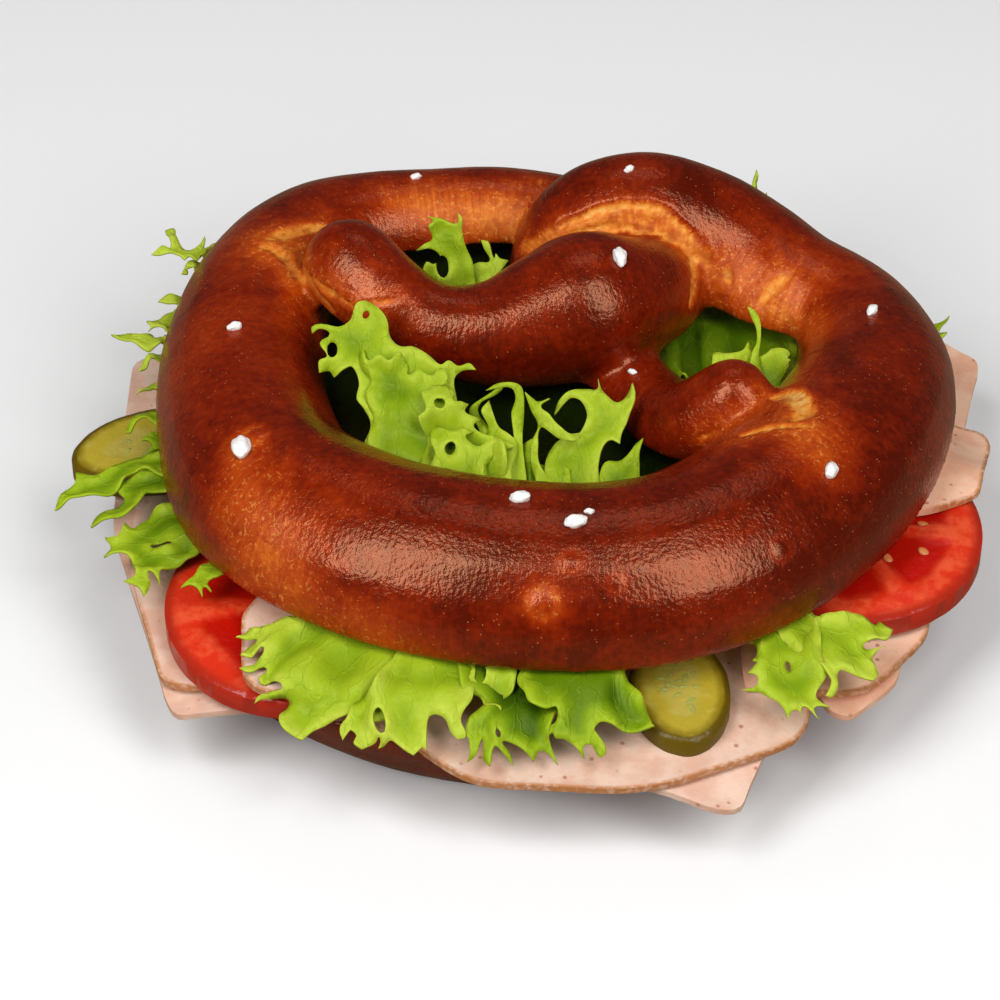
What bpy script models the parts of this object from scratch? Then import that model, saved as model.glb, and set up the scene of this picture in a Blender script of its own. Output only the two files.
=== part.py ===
"""A pretzel sandwich: a soft lye pretzel cut level, with cold cuts, tomato, gherkin and lettuce in it.

Lengths are in millimetres up to the last step, which brings them to metres. X is to the right, Y to the back
and Z up. The sandwich stands on the flat underside of its lower half.
"""

import math

import bmesh
import bpy
import numpy as np
from mathutils import Euler, Matrix, Vector
from mathutils.geometry import delaunay_2d_cdt

MM = 0.001

# The whole pretzel as it was baked on its tray, and where it was cut and filled.
CUT_HEIGHT = 19.0
FILLING_HEIGHT = 17.0
LOWER_HALF_SHIFT = (-2.0, -7.0)
PATH_STEP = 3.0
CRUST_VOXEL = 1.5
CRUST_SMOOTHING = 8
SETTLED_DEPTH = 3.0
SETTLED_HEIGHT = 10.0
TIP_ANGLES = (25, 50, 70, 85)
UPPER_TRIANGLES = 3200
LOWER_TRIANGLES = 1900
WIDER_THAN_ALL = 400.0
ABOVE_ALL = 100.0

# The strand from the left knob to the right one: X, Y, height of its middle above the tray, radius.
STRAND = [
    (-38.5, 50, 36, 10.6),
    (-31, 43, 33, 10.2),
    (-21, 37.5, 29.5, 9.7),
    (-8, 36.5, 28, 11.8),
    (4, 40.5, 28.5, 15.0),
    (13.5, 44.5, 29.5, 16.4),
    (21.5, 50, 26.5, 14.0),
    (28, 60, 20, 12.4),
    (30, 71, 15, 12.4),
    (23, 81.5, 15, 12.6),
    (10, 88, 15, 12.6),
    (-6, 90, 16, 12.8),
    (-20, 89, 16, 13.2),
    (-33.5, 86.5, 16, 14.0),
    (-47, 80, 16.5, 15.3),
    (-56.5, 65, 17, 17.0),
    (-61.5, 43, 18, 18.0),
    (-61, 18.5, 19, 18.9),
    (-52.5, -9, 20, 21.0),
    (-33, -25, 20, 22.2),
    (-10, -33, 20, 22.6),
    (14.5, -35, 20, 22.6),
    (35, -29, 20, 22.5),
    (54.5, -12.5, 20, 22.2),
    (68.5, 9.5, 19, 20.6),
    (75, 31.5, 18, 17.8),
    (71.5, 52, 17, 14.8),
    (57.5, 63.5, 15.5, 17),
    (48, 71.2, 18.6, 16.8),
    (37.6, 74.8, 25, 15.6),
    (25.5, 75.5, 31, 13.4),
    (13, 74, 28, 12.3),
    (6.5, 70, 18, 10.8),
    (8, 57, 13, 10.2),
    (17, 42, 14, 10.2),
    (26.4, 24, 16.5, 10.2),
    (34, 14, 22, 9.5),
    (43, 12, 31.5, 8.5),
]

# Coarse salt on the upper half: X, Y, half length of the grain, turn in degrees.
SALT = [
    (-58.5, -13, 2.3, 70),
    (-62.5, 28, 1.7, 10),
    (19.5, 42.5, 2.4, 120),
    (-2, -31, 2.2, 5),
    (9, -38, 2.3, 20),
    (13, -34.5, 1.0, 70),
    (61, -20, 2.1, 15),
    (74, 36, 1.7, 40),
    (22.5, 74, 1.2, 80),
    (-25, 90, 1.3, 30),
    (22.5, 26.5, 1.0, 50),
]
GRAIN_WIDTH = 0.68
GRAIN_HEIGHT = 0.6
GRAIN_SINK = 0.35
GRAIN_LEAN = (0.2, 0.1)

# The filling, from the cut face of the lower half up. Each layer lies on the one below with a hairline gap.
GAP = 0.3
HAM_THICKNESS = 1.7
TOMATO_THICKNESS = 4.5
GHERKIN_THICKNESS = 4.2
LETTUCE_THICKNESS = 0.7
FIRST_LAYER = CUT_HEIGHT + GAP
SECOND_LAYER = FIRST_LAYER + HAM_THICKNESS + GAP
THIRD_LAYER = SECOND_LAYER + HAM_THICKNESS + GAP
HAM_LIFT = HAM_THICKNESS + GAP
TOMATO_LIFT = TOMATO_THICKNESS + GAP
GHERKIN_LIFT = GHERKIN_THICKNESS + GAP
UPPER_CUT = CUT_HEIGHT + FILLING_HEIGHT

# A limp slice stays level this far past the edge of what it covers, then comes down over this width.
DRAPE_MARGIN = 4.0
DRAPE_WIDTH = 10.0

# What overhangs the lower half sags: the outline of that half is close to an ellipse.
REST_CENTRE = (3.0, 17.0)
REST_HALF_SIZE = (86.0, 78.0)
SAG_START = 1.06
SAG_PER_MM2 = 0.015
LOWEST_SLICES_SAG = 1.25

# Corners of each slice of cold cut: X, Y, corner radius.
HAM = {
    "ham_left_lower": [
        (-88.5, 58, 4),
        (-89, 1, 30),
        (-73, -52, 3),
        (-32, -52, 6),
        (-24, 6, 10),
        (-30, 52, 8),
    ],
    "ham_left_upper": [(-83, 48, 10), (-84.5, -12, 30), (-75, -46.5, 5), (-30, -51, 8), (-26, 38, 10)],
    "ham_front_lower": [(-18, -60, 12), (41, -78, 2.5), (53.5, -50, 20), (48, -12, 8), (-18, -10, 8)],
    "ham_front_upper": [
        (-59, -34, 8),
        (-58, -56, 8),
        (-34, -56, 20),
        (-12, -74, 20),
        (22, -76, 40),
        (56, -62, 12),
        (58, -44, 12),
        (46, -6, 12),
        (-40, -4, 16),
    ],
    "ham_right_lower": [(57, -44, 3), (63, -56, 3), (75, -45, 6), (86, -2, 20), (84, 14, 6), (57, 14, 6)],
    "ham_right_upper": [(43.5, -50, 4), (67, -52, 14), (82, -34, 12), (90, 0, 14), (76, 12, 8), (44, 0, 8)],
    "ham_back_lower": [(52, 20, 6), (93, 20, 6), (102.5, 59, 2.5), (84, 72, 8), (50, 50, 8)],
    "ham_back_upper": [(101.5, 28, 2.5), (95.5, 0, 5), (80, -7, 16), (52, 2, 10), (54, 40, 8)],
}
SLICE_LATTICE = 8.0
SLICE_SPACING = 5.0
LATTICE_MARGIN = 0.5
LARGEST_CORNER_SHARE = 0.48
SAME_POINT = 1e-4

# Round slices: centre X, Y, half length, half width, turn of the length in degrees.
TOMATO = {
    "tomato_left": (-46, -27.5, 29.5, 29.0, 30),
    "tomato_right": (67.5, -7.5, 28.4, 28.0, 70),
}
GHERKIN = {
    "gherkin_front": (30.3, -52, 15.0, 10.2, 95),
    "gherkin_left": (-77.5, 21.5, 21.5, 12.2, 12),
}
ROUND_SPACING = 5.5
ROUND_RIM = 1.3
RIM_ANGLE = 50

# Each leaf is a net of points (X, Y, Z) from its hidden root out to the notches between its lobes, and then
# the lobes themselves, in order along the margin: share of the margin, length, sideways lean of the tip.
# The ground is what the leaf lies on where there is no slice below it.
LETTUCE = {
    "lettuce_front_left": {
        "net": [
            [(-42, -30, 34.5), (-36, -36, 34.5), (-26, -42, 34.5), (-16, -44, 34.5)],
            [(-50, -41, 34.5), (-45, -49, 34), (-34, -54, 33.5), (-20, -55, 33)],
            [(-55, -45, 33), (-51, -55, 31), (-38, -59, 29), (-20, -61, 28)],
        ],
        "lobes": [(1, 5, -1), (0.8, 6, 0), (1, 7, -2), (1.9, 8, -1), (1, 5, 1), (1.2, 7, 0), (2, 8, 2)],
        "waves": 2.6, "wave_height": 2.0, "seed": 3,
    },
    "lettuce_front_right": {
        "net": [
            [(-12, -45, 34.5), (-1, -46, 34.5), (8, -46, 34.5), (17, -44, 34.5)],
            [(-15, -56, 33.5), (-4, -57, 33), (8, -57, 33), (19, -53, 34)],
            [(-15, -61, 29), (-5, -64, 28), (8, -63, 28.5), (21, -58, 31)],
        ],
        "lobes": [(1.2, 5, -1), (1.4, 7, 1), (1, 5, 0), (1.4, 6, 1), (1, 4, 0), (1.4, 6, 2)],
        "waves": 2.4, "wave_height": 2.2, "seed": 12,
    },
    "lettuce_right": {
        "net": [
            [(47, -33, 34.5), (55, -33, 34.5), (63, -27, 34.5)],
            [(44.5, -45, 34.5), (54, -49, 33.5), (67, -39, 34)],
            [(44.5, -50, 32.5), (53, -57, 31), (71, -44, 33)],
        ],
        "lobes": [(1, 4, -1), (1.3, 6, 0), (1, 8, 0), (1.5, 6, 1), (1.3, 6, 1)],
        "waves": 2.2, "wave_height": 1.8, "seed": 8,
    },
    "lettuce_left": {
        "net": [
            [(-66, 24, 34.5), (-66, 9, 34.5), (-64, -6, 34.5), (-60, -19, 34.5)],
            [(-80, 24, 34.5), (-80, 9, 34.3), (-76, -7, 34), (-70, -20, 34)],
            [(-83, 23, 34), (-85, 7, 32), (-81, -11, 30), (-71, -23, 31)],
        ],
        "lobes": [(1, 6, 2), (1, 3, 0), (1.4, 16, 3), (1.2, 10, 3), (1.2, 8, 1), (1.4, 8, 1), (1, 5, 1)],
        "waves": 2.6, "wave_height": 2.2, "seed": 5,
    },
    "lettuce_back_left": {
        "net": [
            [(-58, 30, 31), (-62, 43, 31), (-60, 56, 31), (-50, 70, 31)],
            [(-80, 32, 31), (-79.5, 46, 31), (-75.5, 61, 31), (-65, 77, 31)],
            [(-83.5, 33, 31.5), (-82.5, 47, 33), (-79.5, 62, 33), (-71, 81, 33)],
        ],
        "lobes": [
            (1, 3, 0),
            (1, 4, 0),
            (1.2, 10, -2),
            (1.2, 3, 0),
            (0.8, 3, 0),
            (1.3, 12, 1),
            (1, 6, 1),
            (1, 4, 1),
        ],
        "waves": 3.4, "wave_height": 2.6, "seed": 11, "ground": CUT_HEIGHT,
    },
    "lettuce_ear_left": {
        "net": [
            [(-27, 66, 33), (-16, 64, 33), (-5, 64, 33)],
            [(-25, 64, 41), (-17, 63, 43), (-7, 63, 41)],
            [(-24, 63, 44), (-17, 63, 48), (-8, 62, 43)],
        ],
        "lobes": [(1, 5, -2), (1.2, 10, 0), (1.2, 9, 1), (1, 5, 2)],
        "waves": 1.6, "wave_height": 1.8, "seed": 21,
    },
    "lettuce_centre_left": {
        "net": [
            [(-33, 3, 34), (-24, -3, 34), (-13, -8, 34), (0, -9, 34)],
            [(-35.5, 11, 41), (-27, 6, 42), (-16, 0, 41), (-3, -1, 39)],
            [(-38.5, 19, 48), (-31, 16, 51), (-20, 9, 48), (-7, 5, 43)],
            [(-39.5, 22, 51), (-33, 22, 55), (-22, 14, 52), (-9, 9, 45)],
        ],
        "lobes": [
            (1, 7, -2),
            (1, 5, 0),
            (1.4, 8, 0),
            (1, 6, 1),
            (1.3, 11, 4),
            (1, 5, 0),
            (1, 6, 0),
            (1, 5, 1),
        ],
        "waves": 3.2, "wave_height": 2.4, "seed": 2,
    },
    "lettuce_centre_right": {
        "net": [
            [(2, -9, 34), (11, -9, 34), (20, -8, 34), (29, -5, 34)],
            [(-1, 2, 38), (8, 2, 39), (18, 1, 40), (26, 1, 38)],
            [(-3, 10, 40), (7, 10, 42), (17, 7, 44), (24, 5, 41)],
        ],
        "lobes": [(1, 9, -2), (1, 7, 0), (1.2, 8, 0), (1.3, 9, 1), (1, 6, 1)],
        "waves": 2.2, "wave_height": 2.2, "seed": 14,
    },
    "lettuce_ear_right": {
        "net": [
            [(34, 52, 33), (43, 54, 33), (56, 47, 33)],
            [(34, 45, 35.5), (45, 46, 38), (57, 42, 36)],
            [(33, 40, 36), (45, 40, 39), (58, 37, 36)],
        ],
        "lobes": [(1.2, 5, 0), (1, 4, 0), (1, 8, 0), (1.3, 5, 1)],
        "waves": 1.8, "wave_height": 1.6, "seed": 17,
    },
    "lettuce_back": {
        "net": [
            [(-44, 74, 28), (-24, 80, 28), (-2, 82, 28), (20, 79, 28), (39, 73, 28), (50, 64, 28)],
            [(-52, 87, 28), (-28, 96, 28), (-2, 98, 28), (22, 95, 28), (48, 91, 29), (62, 75, 28)],
            [(-54, 89, 28), (-29, 98, 28), (-2, 100, 28), (23, 97, 28), (50, 94.5, 32.5), (64, 77, 28)],
        ],
        "lobes": [
            (1, 4, 0),
            (1.2, 5, 0),
            (1, 4, 1),
            (1.3, 5, 0),
            (1, 4, 0),
            (1.2, 5, 1),
            (1, 4, 0),
            (1, 4, 0),
            (0.9, 9, 0),
            (1, 4, 0),
            (1, 4, 0),
        ],
        "waves": 6.4, "wave_height": 5.6, "seed": 4, "ground": CUT_HEIGHT,
    },
    "lettuce_right_back": {
        "net": [
            [(78, 27, 30), (78, 40, 30), (76, 52, 30), (68, 62, 30)],
            [(90, 28, 30.5), (89, 42, 31), (85, 55, 30), (75, 68, 29.5)],
            [(92, 29, 31), (91, 43, 32), (87, 56, 31), (77, 70, 30)],
        ],
        "lobes": [(1, 3, 0), (1, 4, 0), (1, 6, 1), (1.2, 3, 0), (1, 4, 0), (1.2, 3, 0)],
        "waves": 3.3, "wave_height": 3.4, "seed": 6, "ground": CUT_HEIGHT,
    },
}
BLADE_SHARE = 0.7
BLADE_ROWS = (0.0, 0.35, 0.7)
LOBE_ROWS = (0.85, 1.0)
LOBE_COLUMNS = (0.0, 0.3, 0.5, 0.7)
LOBE_ROOT_SHARE = 0.08
LOBE_ROUNDNESS = 1.5
LOBE_CURL = (-0.5, 0.8)
NET_STEP = 0.01

# A leaf's folds grow towards its margin. A finer ripple runs over them, and they lean to and fro.
FOLD_GROWTH = 1.5
FOLD_UNEVENNESS = 0.8
RIPPLE_HEIGHT = 0.3
RIPPLE_RATE = 2.3
FOLD_LEAN = 0.5

# How far the leaves keep from the crust above and from the filling below, and the passes that it takes.
LEAF_CLEARANCE = 2.2
LEAF_LIFT = 1.9
CLEARING_PASSES = 20

# Middle of the outline in plan, which becomes the origin.
PLAN_CENTRE = (1.4, 13.8)
SHARP_ANGLE = 40

COLOURS = {
    "crust": ((0.24, 0.055, 0.018), 0.35),
    "ham": ((0.80, 0.53, 0.42), 0.5),
    "tomato": ((0.72, 0.03, 0.01), 0.3),
    "gherkin": ((0.42, 0.33, 0.05), 0.3),
    "lettuce": ((0.33, 0.53, 0.05), 0.45),
}


def remove_everything():
    for obj in list(bpy.data.objects):
        bpy.data.objects.remove(obj, do_unlink=True)


def make_collection(name):
    collection = bpy.data.collections.new(name)
    bpy.context.scene.collection.children.link(collection)
    return collection


def make_material(name):
    colour, roughness = COLOURS[name]
    material = bpy.data.materials.new(name)
    material.use_nodes = True
    shader = material.node_tree.nodes["Principled BSDF"]
    shader.inputs["Base Color"].default_value = (*colour, 1.0)
    shader.inputs["Roughness"].default_value = roughness
    shader.inputs["Metallic"].default_value = 0.0
    return material


def add_object(name, mesh, collection, material=None):
    obj = bpy.data.objects.new(name, mesh)
    collection.objects.link(obj)
    if material:
        mesh.materials.clear()
        mesh.materials.append(material)
    return obj


def evaluated_copy(obj):
    """The object's mesh with its modifiers applied, as a mesh of its own."""
    bpy.context.view_layer.update()
    graph = bpy.context.evaluated_depsgraph_get()
    return bpy.data.meshes.new_from_object(obj.evaluated_get(graph))


def apply_modifiers(obj):
    mesh = evaluated_copy(obj)
    obj.modifiers.clear()
    obj.data = mesh
    return obj


def curve_weights(places, count):
    """Weights of evenly spaced points of a Catmull-Rom curve, at places from 0 to 1 along it."""
    along = np.clip(np.atleast_1d(places), 0, 1) * (count - 1)
    first = np.minimum(along.astype(int), count - 2)
    u = along - first
    shares = (
        -0.5 * u + u**2 - 0.5 * u**3,
        1 - 2.5 * u**2 + 1.5 * u**3,
        0.5 * u + 2 * u**2 - 1.5 * u**3,
        -0.5 * u**2 + 0.5 * u**3,
    )
    weights = np.zeros((len(along), count + 2))
    rows = np.arange(len(along))
    for step, share in enumerate(shares):
        weights[rows, first + step] += share
    weights[:, 1] += 2 * weights[:, 0]
    weights[:, 2] -= weights[:, 0]
    weights[:, -2] += 2 * weights[:, -1]
    weights[:, -3] -= weights[:, -1]
    return weights[:, 1:-1]


def strand_path():
    """Points along the strand, a step apart, with round tips past both knobs."""
    knots = np.array(STRAND, float)
    length = np.linalg.norm(np.diff(knots[:, :3], axis=0), axis=1).sum()
    path = curve_weights(np.linspace(0, 1, round(length / PATH_STEP)), len(knots)) @ knots

    def tip(end, inner):
        away = (end[:3] - inner[:3]) / np.linalg.norm(end[:3] - inner[:3])
        turns = np.radians(TIP_ANGLES)
        return [np.append(end[:3] + away * end[3] * math.sin(a), end[3] * math.cos(a)) for a in turns]

    return np.vstack([tip(path[0], path[1])[::-1], path, tip(path[-1], path[-2])])


def make_dough(collection):
    """The whole pretzel: a tapered strand, grown into itself at its crossings and settled on the tray."""
    path = strand_path()
    curve = bpy.data.curves.new("strand", "CURVE")
    curve.dimensions = "3D"
    curve.bevel_depth = 1.0
    curve.bevel_resolution = 6
    curve.use_fill_caps = True
    spline = curve.splines.new("POLY")
    spline.points.add(len(path) - 1)
    for point, (x, y, z, radius) in zip(spline.points, path):
        point.co = (x, y, z, 1)
        point.radius = radius
    guide = add_object("strand", curve, collection)
    dough = add_object("dough", evaluated_copy(guide), collection)
    bpy.data.objects.remove(guide)
    fused = dough.modifiers.new("fused", "REMESH")
    fused.mode = "VOXEL"
    fused.voxel_size = CRUST_VOXEL
    eased = dough.modifiers.new("eased", "SMOOTH")
    eased.factor = 0.5
    eased.iterations = CRUST_SMOOTHING
    apply_modifiers(dough)
    for vert in dough.data.vertices:
        share = 1 - max(vert.co.z, 0) / SETTLED_HEIGHT
        vert.co.z -= SETTLED_DEPTH * max(share, 0)
    return dough


def make_slab(name, low, high, collection):
    """A wide box between two heights, to keep one half of the pretzel."""
    bpy.ops.mesh.primitive_cube_add(size=1.0)
    slab = bpy.context.object
    slab.name = name
    size = Matrix.Diagonal((WIDER_THAN_ALL, WIDER_THAN_ALL, high - low, 1))
    slab.data.transform(Matrix.Translation((0, 0, (low + high) / 2)) @ size)
    for owner in list(slab.users_collection):
        owner.objects.unlink(slab)
    collection.objects.link(slab)
    slab.hide_render = True
    slab.display_type = "WIRE"
    return slab


def make_half(name, dough, triangles, slab, collection, material):
    """What a slab keeps of the dough, once that is brought down to a number of triangles."""
    half = add_object(name, dough.data.copy(), collection, material)
    coarse = half.modifiers.new("coarse", "DECIMATE")
    coarse.ratio = triangles / sum(len(face.vertices) - 2 for face in half.data.polygons)
    kept = half.modifiers.new("kept", "BOOLEAN")
    kept.operation = "INTERSECT"
    kept.solver = "EXACT"
    kept.object = slab
    return apply_modifiers(half)


def make_grain(name, point, normal, half, turn, collection):
    grain = bmesh.new()
    bmesh.ops.create_icosphere(grain, subdivisions=1, radius=1.0)
    shape = Matrix.Diagonal((half, half * GRAIN_WIDTH, half * GRAIN_HEIGHT, 1))
    spin = Euler((*GRAIN_LEAN, math.radians(turn))).to_matrix().to_4x4()
    lean = normal.to_track_quat("Z", "Y").to_matrix().to_4x4()
    seat = Matrix.Translation(point + normal * half * (GRAIN_HEIGHT - GRAIN_SINK))
    grain.transform(seat @ lean @ spin @ shape)
    mesh = bpy.data.meshes.new(name)
    grain.to_mesh(mesh)
    grain.free()
    add_object(name, mesh, collection)


def add_salt(top, cutters):
    """Grains pressed into the upper crust, joined to it by one union."""
    grains = bpy.data.collections.new("salt")
    cutters.children.link(grains)
    for number, (x, y, half, turn) in enumerate(SALT):
        found, point, normal, _ = top.ray_cast(Vector((x, y, ABOVE_ALL)), Vector((0, 0, -1)))
        if not found:
            raise ValueError(f"grain {number} is off the crust")
        make_grain(f"grain_{number}", point, normal, half, turn, grains)
    union = top.modifiers.new("salt", "BOOLEAN")
    union.operation = "UNION"
    union.operand_type = "COLLECTION"
    union.solver = "MANIFOLD"
    union.collection = grains
    apply_modifiers(top)
    for obj in list(grains.objects):
        bpy.data.objects.remove(obj)
    bpy.data.collections.remove(grains)


def evenly_spaced(points, spacing):
    closed = np.vstack([points, points[:1]])
    lengths = np.concatenate([[0], np.cumsum(np.linalg.norm(np.diff(closed, axis=0), axis=1))])
    places = np.linspace(0, lengths[-1], round(lengths[-1] / spacing), endpoint=False)
    return np.column_stack([np.interp(places, lengths, closed[:, k]) for k in (0, 1)])


def rounded_outline(corners, spacing=SLICE_SPACING):
    """A closed outline with an arc at each corner and points along its sides."""
    points = []
    count = len(corners)
    for k in range(count):
        here = np.array(corners[k][:2], float)
        back = np.array(corners[k - 1][:2], float) - here
        ahead = np.array(corners[(k + 1) % count][:2], float) - here
        back_length = np.linalg.norm(back)
        ahead_length = np.linalg.norm(ahead)
        half_angle = math.acos(back @ ahead / back_length / ahead_length) / 2
        most = LARGEST_CORNER_SHARE * min(back_length, ahead_length)
        reach = min(corners[k][2] / math.tan(half_angle), most)
        start = here + back / back_length * reach
        end = here + ahead / ahead_length * reach
        for u in np.linspace(0, 1, max(3, round(2 * reach / spacing) + 1)):
            points.append((1 - u) ** 2 * start + 2 * u * (1 - u) * here + u * u * end)
    return evenly_spaced(np.array(points), spacing)


def round_outline(centre_x, centre_y, half_length, half_width, turn, spacing=ROUND_SPACING):
    perimeter = math.pi * (half_length + half_width)
    angles = np.linspace(0, 2 * math.pi, round(perimeter / spacing), endpoint=False)
    along = half_length * np.cos(angles)
    across = half_width * np.sin(angles)
    c, s = math.cos(math.radians(turn)), math.sin(math.radians(turn))
    return np.column_stack([centre_x + along * c - across * s, centre_y + along * s + across * c])


def distance_outside(points, outline):
    """How far each point in plan is outside a closed outline; inside it the distance is negative."""
    nearest = np.full(len(points), np.inf)
    inside = np.zeros(len(points), bool)
    for a, b in zip(outline, np.roll(outline, -1, axis=0)):
        side = b - a
        share = np.clip(((points - a) @ side) / (side @ side), 0, 1)
        nearest = np.minimum(nearest, np.linalg.norm(points - a - share[:, None] * side, axis=1))
        if a[1] != b[1]:
            at_x = a[0] + (points[:, 1] - a[1]) / (b[1] - a[1]) * side[0]
            inside ^= ((a[1] > points[:, 1]) != (b[1] > points[:, 1])) & (points[:, 0] < at_x)
    return np.where(inside, -nearest, nearest)


def draped(points, ground, supports):
    """Height of a limp layer on a ground level with supports: each is a list of outlines and a top height."""
    height = np.full(len(points), float(ground))
    for shapes, top in supports:
        outside = np.max([distance_outside(points, shape) for shape in shapes], axis=0)
        share = np.clip(1 - (outside - DRAPE_MARGIN) / DRAPE_WIDTH, 0, 1)
        height = np.maximum(height, ground + (top - ground) * share * share * (3 - 2 * share))
    return height


def sag(points):
    """How far what overhangs the lower half hangs down."""
    reach = np.linalg.norm((points - REST_CENTRE) / REST_HALF_SIZE, axis=1)
    beyond = np.maximum(0, reach - SAG_START) * REST_HALF_SIZE[1]
    return -SAG_PER_MM2 * beyond**2


def outlines():
    made = {name: rounded_outline(corners) for name, corners in HAM.items()}
    made.update({name: round_outline(*sizes) for name, sizes in TOMATO.items()})
    made.update({name: round_outline(*sizes) for name, sizes in GHERKIN.items()})
    return made


def resting_places(shape):
    """What each slice lies on: its ground level, and the outlines and heights of what it covers there."""
    right_ham_top = THIRD_LAYER + HAM_LIFT
    tomato_left = ([shape["tomato_left"]], THIRD_LAYER + TOMATO_LIFT)
    tomato_right = ([shape["tomato_right"]], right_ham_top + TOMATO_LIFT)
    return {
        "ham_left_lower": (FIRST_LAYER, []),
        "ham_front_lower": (FIRST_LAYER, []),
        "ham_right_lower": (FIRST_LAYER, []),
        "ham_back_lower": (FIRST_LAYER, []),
        "ham_left_upper": (SECOND_LAYER, []),
        "ham_front_upper": (SECOND_LAYER, [([shape["ham_left_upper"]], THIRD_LAYER), tomato_left]),
        "ham_right_upper": (SECOND_LAYER, [([shape["ham_front_upper"]], THIRD_LAYER)]),
        "ham_back_upper": (SECOND_LAYER, [([shape["ham_right_upper"]], right_ham_top), tomato_right]),
        "tomato_left": (THIRD_LAYER, []),
        "tomato_right": (right_ham_top, []),
        "gherkin_front": (THIRD_LAYER, []),
        "gherkin_left": (THIRD_LAYER, []),
    }


def lettuce_floor(points, shape, ground):
    """The top of the filling under the lettuce, over a ground level."""
    on_left_tomato = THIRD_LAYER + TOMATO_LIFT
    on_right_tomato = THIRD_LAYER + HAM_LIFT + TOMATO_LIFT
    supports = [
        ([shape["ham_left_lower"]], SECOND_LAYER),
        ([shape["ham_back_lower"]], SECOND_LAYER),
        ([shape["ham_left_upper"]], THIRD_LAYER),
        ([shape["ham_back_upper"]], THIRD_LAYER),
        ([shape["tomato_left"]], on_left_tomato),
        ([shape["tomato_left"], shape["ham_front_upper"]], on_left_tomato + HAM_LIFT),
        ([shape["gherkin_front"]], THIRD_LAYER + GHERKIN_LIFT),
        ([shape["gherkin_left"]], THIRD_LAYER + GHERKIN_LIFT),
        ([shape["ham_right_upper"]], THIRD_LAYER + HAM_LIFT),
        ([shape["tomato_right"]], on_right_tomato),
        ([shape["tomato_right"], shape["ham_back_upper"]], on_right_tomato + HAM_LIFT),
    ]
    return draped(points, ground, supports) + sag(points)


def lattice_inside(outline, spacing):
    """Points of one triangular lattice, the same for all slices, that lie well inside an outline."""
    pitch = np.array([spacing, spacing * math.sqrt(0.75)])
    low, high = outline.min(axis=0) // pitch, outline.max(axis=0) // pitch
    points = []
    for row in range(int(low[1]), int(high[1]) + 1):
        shift = 0.5 * (row % 2)
        points += [((column + shift), row) for column in range(int(low[0]), int(high[0]) + 1)]
    points = np.array(points) * pitch
    return points[distance_outside(points, outline) < -LATTICE_MARGIN * spacing]


def slice_sheet(outline):
    """The upper face of a slice, still flat: its outline filled with triangles over a lattice."""
    inner = lattice_inside(outline, SLICE_LATTICE)
    flat = [Vector(point) for point in np.vstack([outline, inner])]
    verts, _, faces, *_ = delaunay_2d_cdt(flat, [], [list(range(len(outline)))], 1, SAME_POINT)
    sheet = bmesh.new()
    made = [sheet.verts.new((*vert, 0)) for vert in verts]
    for face in faces:
        sheet.faces.new([made[k] for k in face])
    return sheet


def make_slice(name, outline, place, thickness, rim, collection, material):
    """A slice cut to an outline, laid on what is under it and raised to its thickness."""
    sheet = slice_sheet(outline)
    plan = np.array([vert.co[:2] for vert in sheet.verts])
    hang = LOWEST_SLICES_SAG if place[0] == FIRST_LAYER else 1
    for vert, height in zip(sheet.verts, draped(plan, *place) + hang * sag(plan)):
        vert.co.z = height
    raised = bmesh.ops.extrude_face_region(sheet, geom=list(sheet.faces), use_keep_orig=True)
    top = [item for item in raised["geom"] if isinstance(item, bmesh.types.BMVert)]
    bmesh.ops.translate(sheet, verts=top, vec=(0, 0, thickness))
    bmesh.ops.recalc_face_normals(sheet, faces=sheet.faces)
    mesh = bpy.data.meshes.new(name)
    sheet.to_mesh(mesh)
    sheet.free()
    obj = add_object(name, mesh, collection, material)
    if rim:
        rounded = obj.modifiers.new("rim", "BEVEL")
        rounded.width = rim
        rounded.segments = 1
        rounded.limit_method = "ANGLE"
        rounded.angle_limit = math.radians(RIM_ANGLE)
    return obj


def lobe_columns(lobes):
    """Places along the margin where the mesh has a column: the notches, and points across each lobe."""
    ends = np.concatenate([[0], np.cumsum([share for share, _, _ in lobes])])
    ends = ends / ends[-1]
    columns = [start + u * (end - start) for start, end in zip(ends, ends[1:]) for u in LOBE_COLUMNS]
    return ends, np.array(columns + [1.0])


def unit(vectors):
    return vectors / np.linalg.norm(vectors, axis=1)[:, None]


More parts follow.
